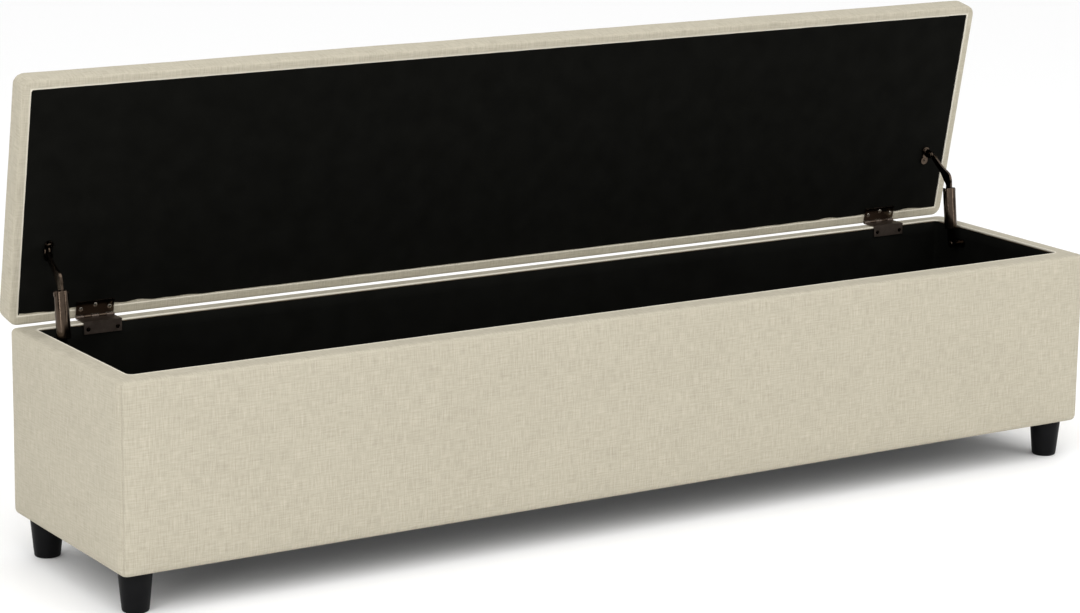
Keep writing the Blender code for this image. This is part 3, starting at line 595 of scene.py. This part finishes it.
# -------- linen upholstery
def make_body_upholstery():
    """Linen over wadding: outer faces, rolled rim, inner lip and the hem turned under the box."""
    low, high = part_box("body_cover")
    panel_low, panel_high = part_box("front_panel")
    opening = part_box("storage_lining")
    outer = rect_of(low, high)
    lining, clear = 1.5 * MM, 0.15 * MM
    inner = inset(rect_of(*opening), lining)
    panels = (panel_low.x, panel_high.x, panel_low.y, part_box("rear_panel")[1].y)
    panels = inset(panels, -0.25 * MM)
    corner, roll, low_roll, lip = 14 * MM, 7 * MM, 10 * MM, 2.2 * MM
    opening_corner, hidden_corner = 11 * MM, 3 * MM
    hem, wall = 28 * MM, 32 * MM
    top, bottom = high.z, low.z
    lip_foot, back_foot = panel_high.z + clear, panel_low.z - clear

    def toward(share):
        """Between the outer rectangle and the inner one."""
        return tuple(a + (b - a) * share for a, b in zip(outer, inner))

    rings = []
    for share in (0.0, 0.5, 1.0):
        depth = hem + (low_roll - hem) * share
        rings.append((inset(outer, depth), max(corner - depth, hidden_corner), bottom))
    for angle in (22.5, 45.0, 67.5, 90.0):
        turn = math.radians(angle)
        depth = low_roll * (1 - math.sin(turn))
        rings.append((inset(outer, depth), corner - depth, bottom + low_roll * (1 - math.cos(turn))))
    rows = 24
    for row in range(1, rows):
        rings.append((outer, corner, bottom + low_roll + (top - bottom - low_roll - roll) * row / rows))
    for angle in (0.0, 22.5, 45.0, 67.5, 90.0):
        turn = math.radians(angle)
        depth = roll * (1 - math.cos(turn))
        rings.append((inset(outer, depth), corner - depth, top - roll * (1 - math.sin(turn))))
    start, end = roll / wall, 1.0 - lip / wall
    for share in (0.35, 0.70, 0.88, 1.0):
        where = start + (end - start) * share
        rings.append((toward(where), corner - roll + (opening_corner - corner + roll) * share, top))
    for angle in (30.0, 60.0, 90.0):
        turn = math.radians(angle)
        where = end + (1 - end) * math.sin(turn)
        rings.append((toward(where), opening_corner, top - lip * (1 - math.cos(turn))))
    rings.append((inner, opening_corner, lip_foot))
    rings.append((panels, hidden_corner, lip_foot))
    back_rows = 8
    for row in range(1, back_rows + 1):
        rings.append((panels, hidden_corner, lip_foot + (back_foot - lip_foot) * row / back_rows))
    rings.append((inset(outer, hem), hidden_corner, back_foot))

    weave = Weave(along_x=150, along_y=28, corner=8)
    firsts = [weave.ring(*ring) for ring in rings]
    weave.join(firsts + firsts[:1])
    mesh = weave.mesh("body_upholstery")
    obj = add_piece("body_upholstery", mesh, "body", LINEN, ("body_cover", "body_padding"))

    x, y, z = positions(obj.data).T
    from_edge = np.minimum(z - bottom, top - z)
    inward = np.minimum(*from_sides(x, y, low, high))
    held, ramp = 2 * MM, 16 * MM
    free = ease((from_edge - held) / ramp) * (inward < held)
    inflate(obj, free, pressure=4.0, most=1.8 * MM)
    subdivide(obj)

    # Slack and tension in the cover: soft unevenness, and a sewn seam down each corner.
    places = positions(obj.data)
    facing = normals(obj.data)
    x, y, z = places.T
    inward = np.minimum(*from_sides(x, y, low, high))
    shown = (inward < 4 * MM) | (z > top - 1 * MM)
    change = unevenness(places, shown, (0.30 * MM, 9.0), (0.12 * MM, 34.0))
    middle_y = (low.y + high.y) / 2
    to_corner = np.hypot(
        (high.x - corner) - np.abs(x) + corner * math.cos(math.pi / 4),
        (high.y - low.y) / 2 - corner - np.abs(y - middle_y) + corner * math.sin(math.pi / 4),
    )
    seam_width, seam_depth, seam_end = 1.6 * MM, 1.0 * MM, 3 * MM
    seam = np.exp(-((to_corner / seam_width) ** 2)) * (z < top - seam_end) * (z > bottom + seam_end)
    change -= seam_depth * seam
    set_positions(obj.data, places + facing * change[:, None])
    inner_x, inner_y = inner[1], (inner[3] - inner[2]) / 2
    inner_middle = (inner[2] + inner[3]) / 2
    from_opening = past_rounded(x, y - inner_middle, inner_x, inner_y, opening_corner)
    welt_width, welt_height = 1.5 * MM, 1.1 * MM
    # Painted highlight: a thin band just inside the rim's inner edge is lightened in the linen's colour; the
    # same band raises the welt below.
    fold_highlight = np.exp(-(((from_opening - welt_width) / welt_width) ** 2)) * (z > top - lip)
    mark(obj.data, "fold_highlight", fold_highlight)
    mark(obj.data, "seam", seam)
    # The turned-in edge stands up as a small welt, but lies flat along the rear, under the hinges.
    loose = 1.0 - ease((y - inner_middle - inner_y + 14 * MM) / (11 * MM))
    places = positions(obj.data)
    places[:, 2] += welt_height * fold_highlight * loose
    set_positions(obj.data, places)


def make_lid_upholstery():
    """The padded lid, built closed in the lid's frame: crowned top, boxed sides and a hem below."""
    low, high = local_box("lid_cover", LID)
    board_high = local_box("lid_board", LID)[1]
    # The padding bulges a little past the board at the rear, which narrows the gap to the rim.
    bulge, crown, lip = 1.4 * MM, 2.5 * MM, 0.9 * MM
    outer = (low.x, high.x, low.y, high.y + bulge)
    corner, top_roll, low_roll = 17 * MM, 12 * MM, 4 * MM
    hem = local_box("lid_lining", LID)[0].x - low.x - 0.3 * MM
    under, sunk_top = low.z, high.z - crown
    shelf, shelf_depth = under + 1.75 * MM, hem + 7 * MM
    least = 5 * MM

    def at(depth, z):
        return inset(outer, depth), max(corner - depth, least), z

    foam_foot = board_high.z + 0.15 * MM
    back, cloth = 3.1 * MM, 0.4 * MM
    rings = [at(back + 8 * MM, foam_foot), at(back, foam_foot), at(back, (foam_foot + shelf) / 2)]
    rings += [at(back, shelf + cloth), at(shelf_depth, shelf + cloth), at(shelf_depth, shelf)]
    rings += [at(hem, shelf), at(hem, under + lip)]
    for angle in (30.0, 60.0, 90.0):
        turn = math.radians(angle)
        rings.append(at(hem - lip * (1 - math.cos(turn)), under + lip * (1 - math.sin(turn))))
    rings.append(at((hem - lip + low_roll) / 2, under))
    for angle in (0.0, 30.0, 60.0, 90.0):
        turn = math.radians(angle)
        rings.append(at(low_roll * (1 - math.sin(turn)), under + low_roll * (1 - math.cos(turn))))
    rows = 4
    for row in range(1, rows):
        rings.append(at(0.0, under + low_roll + (sunk_top - top_roll - under - low_roll) * row / rows))
    for angle in (0.0, 18.0, 36.0, 54.0, 72.0, 90.0):
        turn = math.radians(angle)
        rings.append(at(top_roll * (1 - math.cos(turn)), sunk_top - top_roll * (1 - math.sin(turn))))

    weave = Weave(along_x=150, along_y=30, corner=8)
    firsts = [weave.ring(*ring) for ring in rings]
    weave.join(firsts)
    weave.cap(firsts[0], flip=True)
    weave.cap(firsts[-1])
    mesh = weave.mesh("lid_upholstery")
    obj = add_piece("lid_upholstery", mesh, "lid", LINEN, ("lid_cover", "lid_foam"), LID)

    x, y, z = positions(obj.data).T
    inward = np.minimum(*from_sides(x, y, low, high))
    on_top = z > sunk_top - 1 * MM
    at_side = 0.45
    side_free = at_side * ease((z - under - 5 * MM) / (14 * MM)) * (inward < top_roll)
    top_free = at_side + 0.55 * ease((inward - top_roll) / (60 * MM))
    free = np.where(on_top, top_free, side_free)
    inflate(obj, free, pressure=4.0, most=4.5 * MM)
    subdivide(obj)

    # The cover is pulled round the corners and stapled below, so small puckers fan out from them.
    places = positions(obj.data)
    facing = normals(obj.data)
    x, y, z = places.T
    change = unevenness(places, z > under + 3 * MM, (0.55 * MM, 7.0), (0.15 * MM, 31.0))
    from_x, from_y = from_sides(x, y, low, high)
    reach = np.hypot(from_x, from_y)
    fan = np.arctan2(from_x, from_y)
    pucker = np.sin(fan * 14.0 + np.sign(x) * 1.3) * np.exp(-reach / (22 * MM)) * (z > under + 6 * MM)
    change += 0.45 * MM * pucker * ease((reach - 5 * MM) / (8 * MM))
    set_positions(obj.data, places + facing * change[:, None])
    inward = np.minimum(from_x, from_y)
    # Painted highlight: a thin band along the hem's inner edge, beside the black panel, is lightened in the
    # linen's colour.
    fold_highlight = np.exp(-(((inward - hem + 0.6 * lip) / (1.2 * MM)) ** 2)) * (z < under + 1.5 * MM)
    mark(obj.data, "fold_highlight", fold_highlight)


# -------- black linings
def ripple(mesh, amount, scale, direction):
    """Soft waves one way only, from 0 to amount."""
    places = positions(mesh)
    for index, place in enumerate(places):
        wave = 0.5 + 0.5 * noise.noise(Vector(place) * scale)
        places[index] = place + np.array(direction(place)) * (amount * wave)
    set_positions(mesh, places)


def make_storage_lining():
    """The black cloth tub: floor and four walls, creased in its corners and loose between them."""
    low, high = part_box("storage_lining")
    cloth, face = 0.7 * MM, 1.5 * MM
    walls = inset(rect_of(low, high), face)
    floor_z = low.z + face
    top = high.z - 0.2 * MM
    crease = 6.5 * MM
    weave = Weave(along_x=120, along_y=24, corner=6)
    rows, drop = 12, top - floor_z - crease
    rings = [weave.ring(walls, crease, top - drop * row / rows) for row in range(rows + 1)]
    rings.append(weave.ring(inset(walls, crease * 0.3), crease, floor_z + crease * 0.3))
    rings.append(weave.ring(inset(walls, crease), crease, floor_z))
    weave.join(rings)
    weave.cap(rings[-1])
    mesh = weave.mesh("storage_lining_cloth")
    middle_y = (low.y + high.y) / 2

    def outward(place):
        """Into the wall or the floor behind the cloth, and nothing at the creases."""
        x, y, z = place
        from_wall = min(walls[1] - abs(x), (walls[3] - walls[2]) / 2 - abs(y - middle_y))
        edge = min(1.0, max(0.0, (z - floor_z) / (20 * MM)))
        near = 4 * MM
        if from_wall > near:
            return 0.0, 0.0, -1.0
        if walls[1] - abs(x) < near:
            return math.copysign(edge, x), 0.0, 0.0
        return 0.0, math.copysign(edge, y - middle_y), 0.0

    ripple(mesh, 0.75 * MM, 11.0, outward)
    obj = add_piece("storage_lining_cloth", mesh, "body", BLACK, ("storage_lining",))
    thick = obj.modifiers.new("thickness", "SOLIDIFY")
    thick.thickness = cloth
    thick.offset = 1.0
    apply_modifiers(obj)


def make_lid_lining():
    """The black panel below the lid: stapled close to its edge, so the edge waves a little."""
    low, high = local_box("lid_lining", LID)
    face, back = low.z + 0.75 * MM, low.z + 1.6 * MM
    edge = inset(rect_of(low, high), -0.2 * MM)
    weave = Weave(along_x=180, along_y=36, corner=4)
    depths = (6 * MM, 1.6 * MM, 0.4 * MM, 0.0)
    corner = 2.5 * MM
    rings = [weave.ring(inset(edge, depth), corner, face + 0.35 * MM * (depth == 0.0)) for depth in depths]
    rings += [weave.ring(inset(edge, depth), corner, back) for depth in (0.0, depths[0])]
    weave.join(rings)
    weave.cap(rings[0])
    weave.cap(rings[-1])
    mesh = weave.mesh("lid_lining_cloth")
    places = positions(mesh)
    middle_y = (low.y + high.y) / 2
    half_y = (edge[3] - edge[2]) / 2
    leaf_low, leaf_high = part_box("hinge_lid_leaf_right")
    hinge_x, hinge_reach = (leaf_low.x + leaf_high.x) / 2, 0.16
    for index, place in enumerate(places):
        x, y, z = place
        from_x, from_y = edge[1] - abs(x), half_y - abs(y - middle_y)
        near = math.exp(-max(0.0, min(from_x, from_y)) / (9 * MM))
        staple = noise.noise(Vector((x * 32.0, y * 32.0, 3.0)))
        by_hinge = math.exp(-(((abs(x) - hinge_x) / hinge_reach) ** 2)) * (y > middle_y) * (from_y < from_x)
        pull = near * (0.4 * MM + (0.6 + 4.6 * by_hinge) * MM * max(0.0, staple + 0.35))
        if from_x < from_y:
            x -= math.copysign(pull, x)
        else:
            y -= math.copysign(pull, y - middle_y)
        z += 0.22 * MM * noise.noise(Vector((x * 13.0, y * 13.0, 0.0)))
        z += 0.18 * MM * near * noise.noise(Vector((x * 60.0, y * 60.0, 5.0)))
        places[index] = x, y, z
    set_positions(mesh, places)
    obj = add_piece("lid_lining_cloth", mesh, "lid", BLACK, ("lid_lining",), LID)


def make_dust_cover():
    """The black cloth under the box, stretched between the hems and sagging slightly."""
    low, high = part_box("dust_cover")
    edge = inset(rect_of(low, high), -2 * MM)
    face, cloth, corner, sag = low.z + 0.4 * MM, 0.8 * MM, 3 * MM, 3.0 * MM
    inside = inset(edge, 5 * MM)
    weave = Weave(along_x=90, along_y=20, corner=4)
    layout = ((inside, face), (edge, face), (edge, face + cloth), (inside, face + cloth))
    rings = [weave.ring(rect, corner, z) for rect, z in layout]
    weave.join(rings)
    weave.cap(rings[0])
    weave.cap(rings[-1])
    mesh = weave.mesh("dust_cover_cloth")
    places = positions(mesh)
    x, y, _ = places.T
    from_x, from_y = from_sides(x, y, low, high)
    places[:, 2] -= sag * ease(from_x / 0.25) * ease(from_y / 0.15)
    for index, place in enumerate(places):
        places[index, 2] += 0.25 * MM * noise.noise(Vector((place[0] * 22.0, place[1] * 22.0, 1.0)))
    set_positions(mesh, places)
    obj = add_piece("dust_cover_cloth", mesh, "body", BLACK, ("dust_cover",))


# -------- hard pieces
def lathe(name, profile, steps=48, angle=35.0):
    """A solid turned about +Z from (radius, height) points, top to bottom."""
    shape = bmesh.new()
    turns = [math.tau * step / steps for step in range(steps)]
    rings = []
    for radius, height in profile:
        if radius < 1e-7:
            rings.append([shape.verts.new((0.0, 0.0, height))])
        else:
            rings.append([
                shape.verts.new((radius * math.cos(turn), radius * math.sin(turn), height)) for turn in turns
            ])
    for upper, lower in zip(rings, rings[1:]):
        for step in range(steps):
            after = (step + 1) % steps
            corners = [upper[step % len(upper)], lower[step % len(lower)]]
            corners += [lower[after % len(lower)], upper[after % len(upper)]]
            face = list(dict.fromkeys(corners))
            if len(face) > 2:
                shape.faces.new(face)
    bmesh.ops.recalc_face_normals(shape, faces=shape.faces)
    return mesh_from(name, shape, angle)


def add_turned(node, profile, steps, body, material, matrix):
    """A turned piece in place of a CAD node."""
    name = node + "_turned"
    add_piece(name, lathe(name, profile, steps), body, material, (node,), matrix)


def fillet(centre, radius, start, end, steps=4):
    """Profile points round a corner, in degrees from the radius axis."""
    turns = [math.radians(start + (end - start) * step / steps) for step in range(steps + 1)]
    return [(centre[0] + radius * math.cos(turn), centre[1] + radius * math.sin(turn)) for turn in turns]


def domed(radius, half, dome, turns):
    """Profile points of a domed head with its crown at half, from near the crown to the rim."""
    return [(radius * math.sin(turn), half - dome + dome * math.cos(turn)) for turn in turns]


def mirrored(points):
    """The same profile points at the other end, in the order that carries the outline on."""
    return [(radius, -height) for radius, height in reversed(points)]


def break_edges(obj, width, angle):
    broken = obj.modifiers.new("broken_edges", "BEVEL")
    broken.width = width
    broken.segments = 2
    broken.limit_method = "ANGLE"
    broken.angle_limit = math.radians(angle)
    broken.harden_normals = True


def refine(node, body, material, bevel):
    """A CAD solid of steel with its facets merged and its edges broken, in place of the plain one."""
    shape = bmesh.new()
    shape.from_mesh(NODES[node].data)
    bmesh.ops.remove_doubles(shape, verts=shape.verts, dist=0.01 * MM)
    bmesh.ops.dissolve_limit(shape, angle_limit=math.radians(1.0), verts=shape.verts, edges=shape.edges)
    bmesh.ops.recalc_face_normals(shape, faces=shape.faces)
    name = node + "_detail"
    obj = add_piece(name, mesh_from(name, shape, 32.0), body, material, (node,))
    break_edges(obj, bevel, 40.0)


def make_feet():
    """Tapered satin feet: a soft top edge, a rounded lower edge and a socket for the bolt."""
    narrowing, soft, edge, hollow = 5.7 * MM, 1.2 * MM, 3.2 * MM, 0.5 * MM
    socket, socket_depth = 4.3 * MM, 22 * MM
    for _, name_x in SIDES:
        for name_y in ("front", "rear"):
            node = f"foot_{name_y}_{name_x}"
            low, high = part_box(node)
            middle = (low + high) / 2
            top_radius = (high.x - low.x) / 2
            bottom_radius, height = top_radius - narrowing, high.z - low.z
            taper = (top_radius - bottom_radius) / height
            profile = [(0.0, height - socket_depth), (socket, height - socket_depth), (socket, height)]
            profile += fillet((top_radius - soft, height - soft), soft, 90.0, 0.0)
            for share in (0.75, 0.5, 0.25):
                profile.append((bottom_radius + taper * height * share, height * share))
            profile += fillet((bottom_radius - edge, edge), edge, 0.0, -90.0, 6)
            profile += [(bottom_radius - edge - 2 * MM, 0.0), (bottom_radius - edge - 2.6 * MM, hollow)]
            profile.append((0.0, hollow))
            place = Matrix.Translation((middle.x, middle.y, low.z))
            add_turned(node, profile, 72, "body", FOOT, place)


def cross_recess_cutter():
    shape = bmesh.new()
    arm, width, depth = 1.9 * MM, 0.42 * MM, 1.5 * MM
    for turn in (0.0, math.pi / 2):
        cube = bmesh.ops.create_cube(shape, size=2.0)["verts"]
        for vert in cube:
            narrow = 0.45 if vert.co.z < 0 else 1.0
            vert.co = Vector((vert.co.x * arm * narrow, vert.co.y * width, vert.co.z * depth))
            vert.co = Matrix.Rotation(turn, 3, "Z") @ vert.co
    mesh = bpy.data.meshes.new("cutter")
    shape.to_mesh(mesh)
    shape.free()
    return mesh


def boolean(target_mesh, cutter_mesh, operation="DIFFERENCE"):
    """The exact boolean of two meshes, as a new mesh."""
    target = bpy.data.objects.new("target", target_mesh)
    cutter = bpy.data.objects.new("cutter", cutter_mesh)
    for obj in (target, cutter):
        link(obj)
    step = target.modifiers.new("boolean", "BOOLEAN")
    step.object, step.operation, step.solver = cutter, operation, "EXACT"
    step.use_self = True
    result = baked(target)
    for obj in (target, cutter):
        bpy.data.objects.remove(obj)
    result.shade_smooth()
    result.set_sharp_from_angle(angle=math.radians(30.0))
    return result


def screw_mesh(name, length, dome):
    """A countersunk cross-recess wood screw, its head at the origin and facing +Z."""
    head, shank = 3.4 * MM, 1.55 * MM
    profile = [(0.0, dome)]
    profile += [(head * share, dome * (1 - share * share)) for share in (0.35, 0.6, 0.8, 0.93)]
    profile += [(head, 0.0), (head, -0.15 * MM), (shank, -(head - shank) - 0.15 * MM)]
    thread, crest = 0.9 * MM, 0.25 * MM
    height = -(head - shank) - 1.2 * MM
    while height > -length + 3 * MM:
        profile += [(shank, height), (shank + crest, height - thread / 2)]
        height -= thread
    profile += [(shank, -length + 2.6 * MM), (0.0, -length)]
    return boolean(lathe(name, profile, 24), cross_recess_cutter())


def place_screw(name, mesh, head, direction, turn, body, material, replaces=()):
    aim = Vector(direction).to_track_quat("Z", "Y").to_matrix().to_4x4()
    matrix = Matrix.Translation(head) @ aim @ Matrix.Rotation(turn, 4, "Z")
    add_piece(name, mesh, body, material, replaces, matrix)


def make_hinges():
    turn_step = 0.7
    lid_screw = screw_mesh("hinge_lid_screw", 13 * MM, 0.7 * MM)
    body_screw = screw_mesh("hinge_body_screw", 16 * MM, 0.25 * MM)
    for _, name in SIDES:
        refine(f"hinge_lid_leaf_{name}", "lid", BRONZE, 0.2 * MM)
        # The body leaves take the lighter copy of the bronze: painted light.
        refine(f"hinge_body_leaf_{name}", "body", LIT_LEAF_BRONZE, 0.2 * MM)
        for index in (1, 2, 3):
            node = f"hinge_lid_screw_{name}_{index}"
            low, high = local_box(node, LID)
            head = LID @ Vector(((low.x + high.x) / 2, (low.y + high.y) / 2, low.z))
            turn = index * turn_step
            # The lid screw heads are in the pale metal: painted highlight.
            place_screw(node + "_head", lid_screw, head, LID_DOWN, turn, "lid", SCREW_STEEL_HIGHLIGHT, (node,))
        for index in (1, 2):
            node = f"hinge_body_screw_{name}_{index}"
            low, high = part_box(node)
            head = Vector(((low.x + high.x) / 2, low.y, (low.z + high.z) / 2))
            turn = 1 + index * turn_step
            place_screw(node + "_head", body_screw, head, (0, -1, 0), turn, "body", BRONZE, (node,))
        node = f"hinge_pin_{name}"
        low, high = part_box(node)
        half = (high.x - low.x) / 2
        radius, head, dome = 1.2 * MM, (high.z - low.z) / 2, 1.0 * MM
        crown = domed(head, half, dome, (0.5, 0.9, 1.25, math.pi / 2))
        profile = [(0.0, half)] + crown + [(radius, half - dome), (radius, dome - half)]
        profile += mirrored(crown) + [(0.0, -half)]
        along = Matrix.Translation((low + high) / 2) @ Matrix.Rotation(math.pi / 2, 4, "Y")
        add_turned(node, profile, 32, "body", BRONZE, along)


# -------- folding stays
def make_rivet(node, body, outer_head=True):
    """A rivet along X with domed heads, as long as its CAD solid."""
    low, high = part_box(node)
    side = 1 if low.x > 0 else -1
    half, radius = (high.x - low.x) / 2, (high.z - low.z) / 2
    shank, dome = 2.5 * MM, 1.4 * MM
    crown = domed(radius, half, dome, (0.35, 0.7, 1.05, 1.35, math.pi / 2))
    if outer_head:
        far = [(0.0, half)] + crown + [(shank, half - dome)]
    else:
        far = [(0.0, half), (shank - 0.2 * MM, half), (shank, half - 0.2 * MM)]
    profile = far + [(shank, dome - half)] + mirrored(crown) + [(0.0, -half)]
    along = Matrix.Translation((low + high) / 2) @ Matrix.Rotation(side * math.pi / 2, 4, "Y")
    add_turned(node, profile, 32, body, BRONZE, along)


def make_tube(name):
    """The spring tube: thin drawn wall, rolled mouth, slot for the arm and a flat tab at its foot."""
    node = f"stay_tube_{name}"
    elbow = Vector(JOINTS[f"stay_elbow_{name}"]["pos_m"])
    rivet_low, rivet_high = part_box(f"stay_foot_rivet_{name}")
    foot = (rivet_low + rivet_high) / 2
    foot.x = elbow.x
    length = (elbow - foot).length
    tilt = math.atan2((elbow - foot).y, (elbow - foot).z)
    radius, bore, mouth, bottom, floor = 11 * MM, 9.6 * MM, 4.5 * MM, 26.3 * MM - length, 2 * MM
    wall = (radius - bore) / 2
    profile = [(0.0, bottom)]
    profile += list(reversed(fillet((radius - 1.6 * MM, bottom + 1.6 * MM), 1.6 * MM, 0.0, -90.0)))
    profile += fillet(((radius + bore) / 2, mouth - wall), wall, 0.0, 180.0, 6)
    profile += [(bore, bottom + floor), (0.0, bottom + floor)]
    tube = lathe(node, profile, 72)

    tab_radius, tab_half = 7.5 * MM, 1.5 * MM
    outline = [(tab_radius * math.sin(turn), -length - tab_radius * math.cos(turn))
               for turn in (math.pi / 2 - math.pi * step / 24 for step in range(25))]
    shoulder = [(-8.6 * MM, bottom - 1 * MM), (-9.2 * MM, bottom + 1.2 * MM)]
    outline += shoulder + [(-x, z) for x, z in reversed(shoulder)]
    shape = bmesh.new()
    face = shape.faces.new([shape.verts.new((-tab_half, y, z)) for y, z in outline])
    grown = bmesh.ops.extrude_face_region(shape, geom=[face])["geom"]
    raised = [part for part in grown if isinstance(part, bmesh.types.BMVert)]
    bmesh.ops.translate(shape, vec=(2 * tab_half, 0, 0), verts=raised)
    bmesh.ops.recalc_face_normals(shape, faces=shape.faces)
    mesh = boolean(tube, mesh_from("tab", shape), "UNION")

    def block(low, high):
        shape = bmesh.new()
        bmesh.ops.create_cube(shape, size=1.0)
        bmesh.ops.scale(shape, vec=Vector(high) - Vector(low), verts=shape.verts)
        bmesh.ops.translate(shape, vec=(Vector(high) + Vector(low)) / 2, verts=shape.verts)
        return mesh_from("block", shape)

    def bar(z):
        """A bar along X that cuts a rivet's hole."""
        hole, half = 2.8 * MM, 20 * MM
        mesh = lathe("bar", [(0.0, half), (hole, half), (hole, -half), (0.0, -half)], 32)
        mesh.transform(Matrix.Translation((0, 0, z)) @ Matrix.Rotation(math.pi / 2, 4, "Y"))
        return mesh

    mesh = boolean(mesh, block((-2.6 * MM, 4 * MM, -26 * MM), (2.6 * MM, 22 * MM, 26 * MM)))
    mesh = boolean(mesh, bar(0.0))
    mesh = boolean(mesh, bar(-length))
    mesh.name = node + "_drawn"
    matrix = Matrix.Translation(elbow) @ Matrix.Rotation(-tilt, 4, "X")
    obj = add_piece(node + "_drawn", mesh, node, BRONZE, (node,), matrix)
    break_edges(obj, 0.25 * MM, 50.0)


def make_stays():
    bracket_screw = screw_mesh("stay_bracket_screw", 12 * MM, 0.5 * MM)
    lid_spread, wall_spread, plate = 9 * MM, 10.5 * MM, 2 * MM
    for side, name in SIDES:
        make_tube(name)
        refine(f"stay_arm_{name}", f"stay_arm_{name}", BRONZE, 0.45 * MM)
        refine(f"stay_lid_bracket_{name}", "lid", BRONZE, 0.3 * MM)
        refine(f"stay_wall_bracket_{name}", "body", BRONZE, 0.3 * MM)
        tube_body = f"stay_tube_{name}"
        make_rivet(f"stay_elbow_pin_{name}", tube_body)
        make_rivet(f"stay_foot_rivet_{name}", tube_body, outer_head=False)
        make_rivet(f"stay_lid_rivet_{name}", "lid")

        low, high = local_box(f"stay_lid_bracket_{name}", LID)
        plate_x = (low.x + high.x) / 2
        middle_y = (low.y + high.y) / 2
        face_z = high.z - plate
        for index, offset in enumerate((-lid_spread, lid_spread)):
            head = LID @ Vector((plate_x, middle_y + offset, face_z))
            label = f"stay_lid_bracket_screw_{name}_{index + 1}"
            place_screw(label, bracket_screw, head, LID_DOWN, 0.4 + index, "lid", BRONZE)

        low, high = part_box(f"stay_wall_bracket_{name}")
        middle = (low + high) / 2
        face_x = side * (max(abs(low.x), abs(high.x)) - plate)
        for index, offset in enumerate((-wall_spread, wall_spread)):
            head = Vector((face_x, middle.y + offset, middle.z))
            label = f"stay_wall_bracket_screw_{name}_{index + 1}"
            place_screw(label, bracket_screw, head, (-side, 0, 0), 0.8 + index, "body", BRONZE)


# -------- finishes of the CAD nodes that stay
def finish_cad_nodes():
    looks = (
        (("front_panel", "rear_panel", "left_end_panel", "right_end_panel"), PINE, "board"),
        (("bottom_board", "corner_block_", "lid_board"), PINE, "board"),
        (("foot_bolt_", "stay_plunger_", "stay_spring_"), ZINC, "zinc_steel"),
    )
    for node, obj in NODES.items():
        if obj.hide_render:
            continue
        for starts, material, slot in looks:
            if node.startswith(starts):
                obj.material_slots[0].material = material


make_camera()
make_studio()
make_body_upholstery()
make_lid_upholstery()
make_storage_lining()
make_lid_lining()
make_dust_cover()
make_feet()
make_hinges()
make_stays()
finish_cad_nodes()
